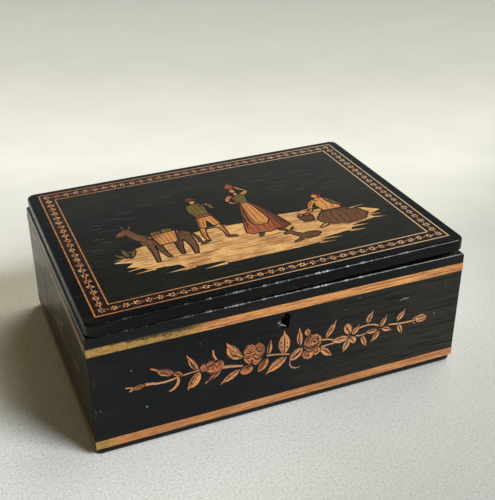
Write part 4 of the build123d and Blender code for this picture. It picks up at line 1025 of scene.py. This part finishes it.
def girl():
    """Folds and features of the girl on the ground, and her basket."""
    weave = [[(40.4 + 0.4 * i, -23.6 - 1.8 * i), (50.6 - 0.3 * i, -23.8 - 1.8 * i)] for i in range(4)]
    staves = [[(41.8 + 2.3 * i, -22.2), (42.8 + 1.8 * i, -29.6)] for i in range(4)]
    return [
        (0.45, *weave),
        (0.4, *staves, [(58.4, -4.8), (55.4, -9.2)]),
        (0.7, [(63.8, 3.8), (64.4, 3.8)]),
        (0.5, [(63.6, 1.4), (64.4, 1.2)], [(66.6, 7.6), (69, 5.6), (69, 1.8)],
         [(65.4, 7.4), (67.8, 6), (68, 3)], [(65.8, -1.6), (67, -10), (65.6, -18.8)],
         [(69.6, -3), (71.4, -11), (70.6, -19.2)], [(60.8, -3.6), (56.8, -8), (55, -13)],
         [(71.4, -1.6), (74.6, -8.6), (78.2, -16.4)], [(71.6, -6), (73.4, -11.6), (77, -16.4)],
         [(79.6, -23.6), (86, -31), (86.8, -36.8)], [(60.4, -24.6), (58.4, -33), (59, -39.4)],
         [(69, -26), (68, -34), (68.4, -41.8)], [(77.2, -26), (78.6, -34), (77.4, -41.6)],
         [(56, -39.4), (51, -42)], [(42.2, -19.2), (43.8, -18.6)], [(46.8, -19.6), (48.4, -19)]),
        (0.6, [(63.2, -4.6), (60, -7.8), (59.4, -13.6)], [(53.2, -14.4), (55.4, -15.6)],
         [(62.2, -20.4), (57, -28), (54.6, -35.6)], [(66.2, -20.6), (63.2, -31), (63.6, -41)],
         [(70.8, -20.6), (73.4, -31), (72.2, -42.4)], [(74.8, -20.8), (81.4, -29.4), (82, -40)]),
    ]


def ground_slivers():
    """Splinters of the ground's broken edge; each is a root, a tip and the root's width."""
    tiles = Tiles(LID)
    for x, y, tip_x, tip_y, width in (
        (-72, -49.6, -86, -50.8, 2.2), (-52, -56.8, -68, -57.6, 2.4), (-28, -61, -44, -62.4, 2.6),
        (-79, -44.6, -90, -46.2, 2), (-48, -57, -58, -59, 1.6), (-84, -30.2, -95, -29.4, 1.4),
        (68, -49.4, 80, -50.4, 2), (64, -54.4, 76, -55.8, 2.2), (42, -57.4, 56, -59, 2.2),
        (38, -61.2, 50, -62.6, 1.8), (88, -43, 98, -45.4, 1.8), (88, -38.4, 97, -40.2, 1.8),
        (-10, -12.6, -24, -11, 1), (46, -14.6, 58, -12.8, 1.4), (80, -24.2, 92, -22.8, 1.6),
    ):
        tiles.add([(x, y + width / 2), (x, y - width / 2), (tip_x, tip_y)])
    tiles.finish("ground_slivers", "ground_wood", "ground")


def ground_marks():
    """Shadows and broken turf drawn on the picture's ground."""
    return [
        (1.2, [(-70, -42.6), (-62, -43.2), (-55, -42.4)], [(-40.8, -42.4), (-32, -42.8), (-26, -42)],
         [(3.4, -38), (12, -38.6), (21, -37.4)], [(22.6, -54.6), (32, -53.2), (44, -52.6), (50, -53.2)],
         [(39.6, -31), (46, -31.6), (51.2, -31.4)]),
        (1, [(-58.4, -40.4), (-50, -40), (-44, -42.6)], [(-35.4, -31.8), (-28, -32.4), (-20, -31.4)]),
        (0.9, [(-16.4, -30.2), (-8, -31.2), (-1.4, -30.4)], [(25.8, -37.6), (32, -37)]),
        (1.4, [(58, -41.6), (68, -44.8), (80, -43.6), (86, -41.2)]),
        (0.7, [(-84, -34.4), (-78, -35.2), (-72.6, -34.4)], [(-20, -46.2), (-8, -47.4), (2, -46.6)],
         [(-14, -56.4), (-4, -57.2), (8, -56.6)]),
        (0.8, [(-52, -52), (-44, -53), (-36, -52.4)]),
        (0.6, [(-78, -42), (-72, -42.8)], [(6, -50.8), (16, -51.4)], [(56, -48.6), (64, -49.2)],
         [(-2, -22), (-6, -22.4)], [(34, -18), (44, -17)], [(-50, -46), (-42, -46.4)]),
    ]


# ---- Wear and small fittings ----
def flake(tiles, x, y, radius, chance):
    """A chip of varnish with a ragged outline."""
    start = chance.random() * 2 * math.pi
    tiles.add([
        (x + r * math.cos(start + a), y + 0.8 * r * math.sin(start + a))
        for a, r in ((2 * math.pi * i / 6, radius * (0.6 + 0.8 * chance.random())) for i in range(6))
    ])


def chips_and_glints():
    """Chips at the keyhole's lower left and scattered specks, pale as painted highlights, and the painted
    glint of the dent at the right.
    """
    chance = random.Random(3)
    bright = Tiles(FRONT)
    x, y = KEYHOLE
    for dx, dy, radius in (
        (-4, -1.4, 0.5), (-4.4, -3, 0.8), (-3.4, -4.4, 0.7), (-2.2, -5, 0.8), (-1, -5.6, 0.5),
        (-5.4, -2.2, 0.4), (-4.6, -5.2, 0.4), (-0.2, -6.2, 0.35),
    ):
        flake(bright, x + dx, y + dy, radius, chance)
    for x, y, radius in (
        (111, 45, 0.5), (51, 72, 0.45), (41, 65.5, 0.35), (-96, 28.5, 0.6), (-125, 34, 0.5),
        (-104, 58.5, 0.5), (118, 66, 0.35), (96, 30, 0.3), (14, 24, 0.3), (-60, 66, 0.3),
    ):
        flake(bright, x, y, radius, chance)
    # painted highlight: the glint of the dent
    bright.stroke([(82.6, 62.2), (86, 63), (90.4, 62.4)], 0.6)
    bright.finish("chips_and_glints", "ebonised_veneer", "chip_glint")


def scuffs():
    """Dull marks round the dent near the front's right end, and at its left end."""
    return [
        (0.7, [(81.4, 62.2), (84.4, 63.4), (86.2, 63.6)], [(88, 63.8), (89.8, 62.6), (91.8, 62.8)]),
        (0.5, [(85.8, 61.4), (88.6, 61.2), (90.6, 61.8)], [(88.4, 65.2), (89.4, 67)],
         [(85.6, 65.4), (84.6, 66.6)], [(90, 51.6), (91.4, 57), (90.8, 60.4)],
         [(-128.6, 30), (-127.8, 33), (-128.4, 37)]),
        (0.4, [(-127.4, 52), (-126.8, 57)]),
    ]


def pits():
    """Dark gouges in the front's right half."""
    return [
        (1.3, [(86.4, 64.8), (87.2, 64.4), (88, 64.6)]), (0.8, [(57, 27.4), (60.4, 28)]),
        (0.9, [(79, 31), (83.4, 32.2)]), (0.6, [(92, 33), (92.6, 29)]),
    ]


def lid_scratches():
    """Fine wavering scratches on the lid's black ground; each is a start and a length."""
    starts = (
        (40, 30, 20), (44, 36, 12), (64, 24, 14), (30, 44, 28), (56, 18, 10), (68, 40, 16), (82, 31, 12),
        (48, 25, 9), (70, 12, 15), (60, 47, 20), (38, 51, 14), (84, 19, 9), (-98, 22, 10), (-100, 2, 8),
        (-104, -12, 7), (-60, 40, 12), (-94, 12, 14), (-88, 27, 16), (-101, 17, 11), (-76, 35, 13),
        (-96, -4, 9), (-72, 24, 8), (-40, 47, 10),
    )
    return [(0.45, *(
        [(x, y), (x + 0.35 * run, y + 1.2), (x + 0.7 * run, y + 0.2), (x + run, y + 1)]
        for x, y, run in starts
    ))]


def screw_heads(name, face, places):
    """Round brass heads, each cut across by a slot."""
    tiles = Tiles(face, lift=0.12)
    for x, y in places:
        for side in (1, -1):
            tiles.add([
                (x + 1.6 * math.cos(a), y + side * (0.22 + 1.4 * math.sin(a)))
                for a in (math.pi * i / 10 for i in range(11))
            ][::side])
    tiles.finish(name, "brass", "brass")


def screws():
    """The screws of the hinges, of the lock and of the link plate that it catches."""
    steps = (-HINGE_STEP, HINGE_STEP)
    places = [(side * HINGE_X + step, HINGE_ROW_Y) for side in (-1, 1) for step in steps]
    underside = LID.origin - LID.out * LID_T * MM
    case_leaf = Face("case", underside - LID.out * LEAF_DROPS["case"] * MM, LID.across, LID.up)
    screw_heads("hinge_screws_case", case_leaf, places)
    lid_leaf = Face("lid", underside - LID.out * LEAF_DROPS["lid"] * MM, -LID.across, LID.up)
    screw_heads("hinge_screws_lid", lid_leaf, [(-x, y) for x, y in places])
    plate = Face("case", Vector((0, LOCK_PLATE_Y, 0)) * MM, (-1, 0, 0), (0, 0, 1))
    places = [(-KEYHOLE[0] - side * LOCK_STEP, LOCK_ROW_Z) for side in (-1, 1)]
    screw_heads("lock_screws", plate, places)
    link = Face("lid", underside, -LID.across, LID.up)
    places = [(-KEYHOLE[0] - side * LINK_STEP, LINK_ROW_Y) for side in (-1, 1)]
    screw_heads("link_screws", link, places)


# ---- Assembly ----
def paint_nodes():
    """Materials on the CAD nodes that stay as they are."""
    uses = {
        "front_black": ("front_board", "back_board"),
        "base_black": ("base_board",),
        "end_black": ("left_board", "right_board"),
        "lid_black": ("lid_board",),
        "lid_ground": ("lid_veneer",),
        "banding": ("lid_banding",),
        "front_ground": ("front_veneer",),
        "end_ground": ("left_veneer", "right_veneer"),
        "band": [f"{w}_{h}_band" for w in ("front", "left", "right") for h in ("upper", "lower")],
        "stringing": ("lid_outer_stringing", "lid_inner_stringing"),
        "brass": ("hinge_case_leaves", "hinge_lid_leaves", "lock_plate", "lock_case", "link_plate"),
        "steel": ("hinge_pins", "lock_bolt", "lock_pin", "lock_spring"),
    }
    for material, names in uses.items():
        for name in names:
            cover(NODES[name].data, material)


def lay_inlay():
    """Every inlay node with its own grain, and the glue lines round the pieces."""
    dress_inlay("front_spray_stems", FRONT, "stem")
    front = [
        dress_inlay("front_spray_leaves", FRONT, "leaf"),
        dress_inlay("front_spray_roses", FRONT, "rose"),
        dress_inlay("front_spray_blossoms", FRONT, "leaf"),
    ]
    kerf_lines("front_kerf", front, FRONT, 0.34)
    # painted shade: the left end's spray takes the darkened leaf wood
    left = dress_inlay("left_spray", LEFT, "shaded_leaf")
    kerf_lines("left_kerf", [left], LEFT, 0.26)
    right = dress_inlay("right_spray", RIGHT, "leaf")
    kerf_lines("right_kerf", [right], RIGHT, 0.26)
    picture = [
        dress_inlay(f"picture_{wood}", LID, wood)
        for wood in ("ground", "pale", "red", "green", "brown")
    ]
    kerf_lines("picture_kerf", picture, LID, 0.55, "kerf", "brown_wood")


def stage():
    """A pale paper floor with painted light and shade: lighter behind the box, darker far away and to the
    front right.
    """
    mesh = bpy.data.meshes.new("floor")
    corners = [(x * FLOOR_SIZE, y * FLOOR_SIZE, 0) for x, y in ((-1, -1), (1, -1), (1, 1), (-1, 1))]
    mesh.from_pydata(corners, [], [(0, 1, 2, 3)])
    paint = Paint("floor", roughness=0.9, ior=1.3)
    away = paint.along(FLOOR_TURN)
    share = paint.span(away, FLOOR_START, FLOOR_END, curve="LINEAR")
    # painted light and shade: the floor's tones follow the fall of light, lighter behind the box and darker
    # far away
    painted_light_ramp = paint.add("ValToRGB", "Color", {"Fac": share})
    stops = painted_light_ramp.node.color_ramp.elements
    stops[0].color = colour((216, 219, 220))
    stops[1].color = colour((146, 147, 143))
    for far, tone in (
        (-180, (216, 219, 219)), (-110, (225, 228, 228)), (20, (240, 242, 241)), (160, (216, 217, 214)),
        (330, (232, 234, 230)), (460, (222, 223, 219)), (650, (202, 203, 199)), (1000, (188, 189, 185)),
    ):
        stops.new((far - FLOOR_START) / (FLOOR_END - FLOOR_START)).color = colour(tone)
    fibres = paint.noise((0.6, 0.6, 0.6), 3, 0.6)
    clouds = paint.noise((0.012, 0.012, 0.012), 5, 0.6)
    coarse = paint.span(away, -60, 320, 0.5, 0.08)
    dark = paint.times(paint.span(fibres, 0.5, 0.72), coarse)
    light = paint.times(paint.span(fibres, 0.5, 0.28), coarse)
    paint.colour(paint.mix(paint.span(clouds, 0.35, 0.65, 0, 0.06), painted_light_ramp, (140, 140, 134)))
    paint.coat(dark, (146, 147, 142))
    paint.coat(light, (252, 253, 248))
    # painted shade: darker towards the front right
    near = paint.span(paint.along(FLOOR_NEAR), 20, 200, 0, 0.5)
    paint.coat(near, (140, 142, 142))
    paint.bump(fibres, 0.3, 0.3)
    mesh.materials.append(paint.material)
    floor = put("floor", mesh)
    floor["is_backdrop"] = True


def soft_light(name, turn, height, angle, strength, tint):
    """A wide even lamp far away; `turn` is from +X towards -Y."""
    lamp = bpy.data.lights.new(name, "SUN")
    lamp.energy = strength
    lamp.color = tint
    lamp.angle = math.radians(angle)
    turn = math.radians(turn)
    height = math.radians(height)
    level = math.cos(height)
    towards = Vector((math.cos(turn) * level, -math.sin(turn) * level, math.sin(height)))
    light = put(name, lamp)
    light.rotation_euler = towards.to_track_quat("Z", "Y").to_euler()
    return light


def lights():
    """A soft key from the front right, a warm pale wall, an even fill and what polish mirrors."""
    soft_light("key", KEY_TURN, KEY_HEIGHT, KEY_ANGLE, KEY_STRENGTH, (0.97, 1.0, 1.03))
    wall = soft_light("wall", WALL_TURN, WALL_HEIGHT, WALL_ANGLE, WALL_STRENGTH, (1.06, 0.99, 0.83))
    wall.visible_glossy = False
    world = bpy.data.worlds.new("room")
    bpy.context.scene.world = world
    room = Nodes(world)
    fill = room.tree.nodes["Background"]
    fill.inputs["Color"].default_value = (1.0, 0.84, 0.46, 1.0)
    fill.inputs["Strength"].default_value = FILL
    _, _, up = room.parts(room.add("TexCoord", "Generated", {}))
    fade = room.span(up, *BACKDROP_EDGE, BACKDROP_LOW, BACKDROP_HIGH)
    backdrop = room.add("Background", 0, {"Color": (0.91, 0.98, 1.0, 1.0), "Strength": fade})
    seen = room.add("Background", 0, {"Color": colour((214, 214, 206)), "Strength": 1.0})
    glossy = room.add("LightPath", "Is Glossy Ray", {})
    direct = room.add("LightPath", "Is Camera Ray", {})
    light = room.add("MixShader", 0, {0: glossy, 1: fill.outputs[0], 2: backdrop})
    shown = room.add("MixShader", 0, {0: direct, 1: light, 2: seen})
    room.give(room.tree.nodes["World Output"].inputs["Surface"], shown)


def camera():
    """The view of the box from the front left and above."""
    turn = math.radians(CAMERA_TURN)
    drop = math.radians(CAMERA_DROP)
    back = Vector((math.sin(turn) * math.cos(drop), -math.cos(turn) * math.cos(drop), math.sin(drop)))
    right = Vector((math.cos(turn), math.sin(turn), 0))
    up = back.cross(right)
    facing = Matrix((right, up, back)).transposed().to_4x4()
    lens = bpy.data.cameras.new("camera")
    lens.lens = CAMERA_LENS
    lens.clip_start = 0.01
    eye = put("camera", lens)
    place = Matrix.Translation(Vector(CAMERA_AT) * MM)
    eye.matrix_world = place @ facing @ Matrix.Rotation(math.radians(CAMERA_ROLL), 4, "Z")
    bpy.context.scene.camera = eye


paint_nodes()
lay_inlay()
engrave("garland_shade", FRONT, "rose_wood", rose_shade(), "scorch", LIFT / 2)
engrave("garland_roses", FRONT, "rose_wood", left_rose() + right_rose() + small_rose(), weight=1.35)
engrave("garland_veins", FRONT, "leaf_wood", leaf_veins() + leaf_ticks(), weight=1.25)
engrave("left_veins", LEFT, "leaf_wood", end_lines())
engrave("right_veins", RIGHT, "leaf_wood", end_lines())
engrave("picture_lines", LID, "brown_wood", animals() + man() + woman() + girl())
leaf_tips()
ground_slivers()
engrave("ground_lines", LID, "ground_wood", ground_marks(), "shade")
star_border()
chips_and_glints()
engrave("scuffs", FRONT, "ebonised_veneer", scuffs(), "scuff")
engrave("pits", FRONT, "ebonised_veneer", pits(), "kerf")
engrave("lid_scratches", LID, "ebonised_veneer", lid_scratches(), "scratch")
screws()
stage()
lights()
camera()
bpy.context.scene.view_settings.view_transform = "Standard"

boxes = {"cad": CAD_BOX, "shown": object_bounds()}
{name: [list(corner) for corner in box] for name, box in boxes.items()}
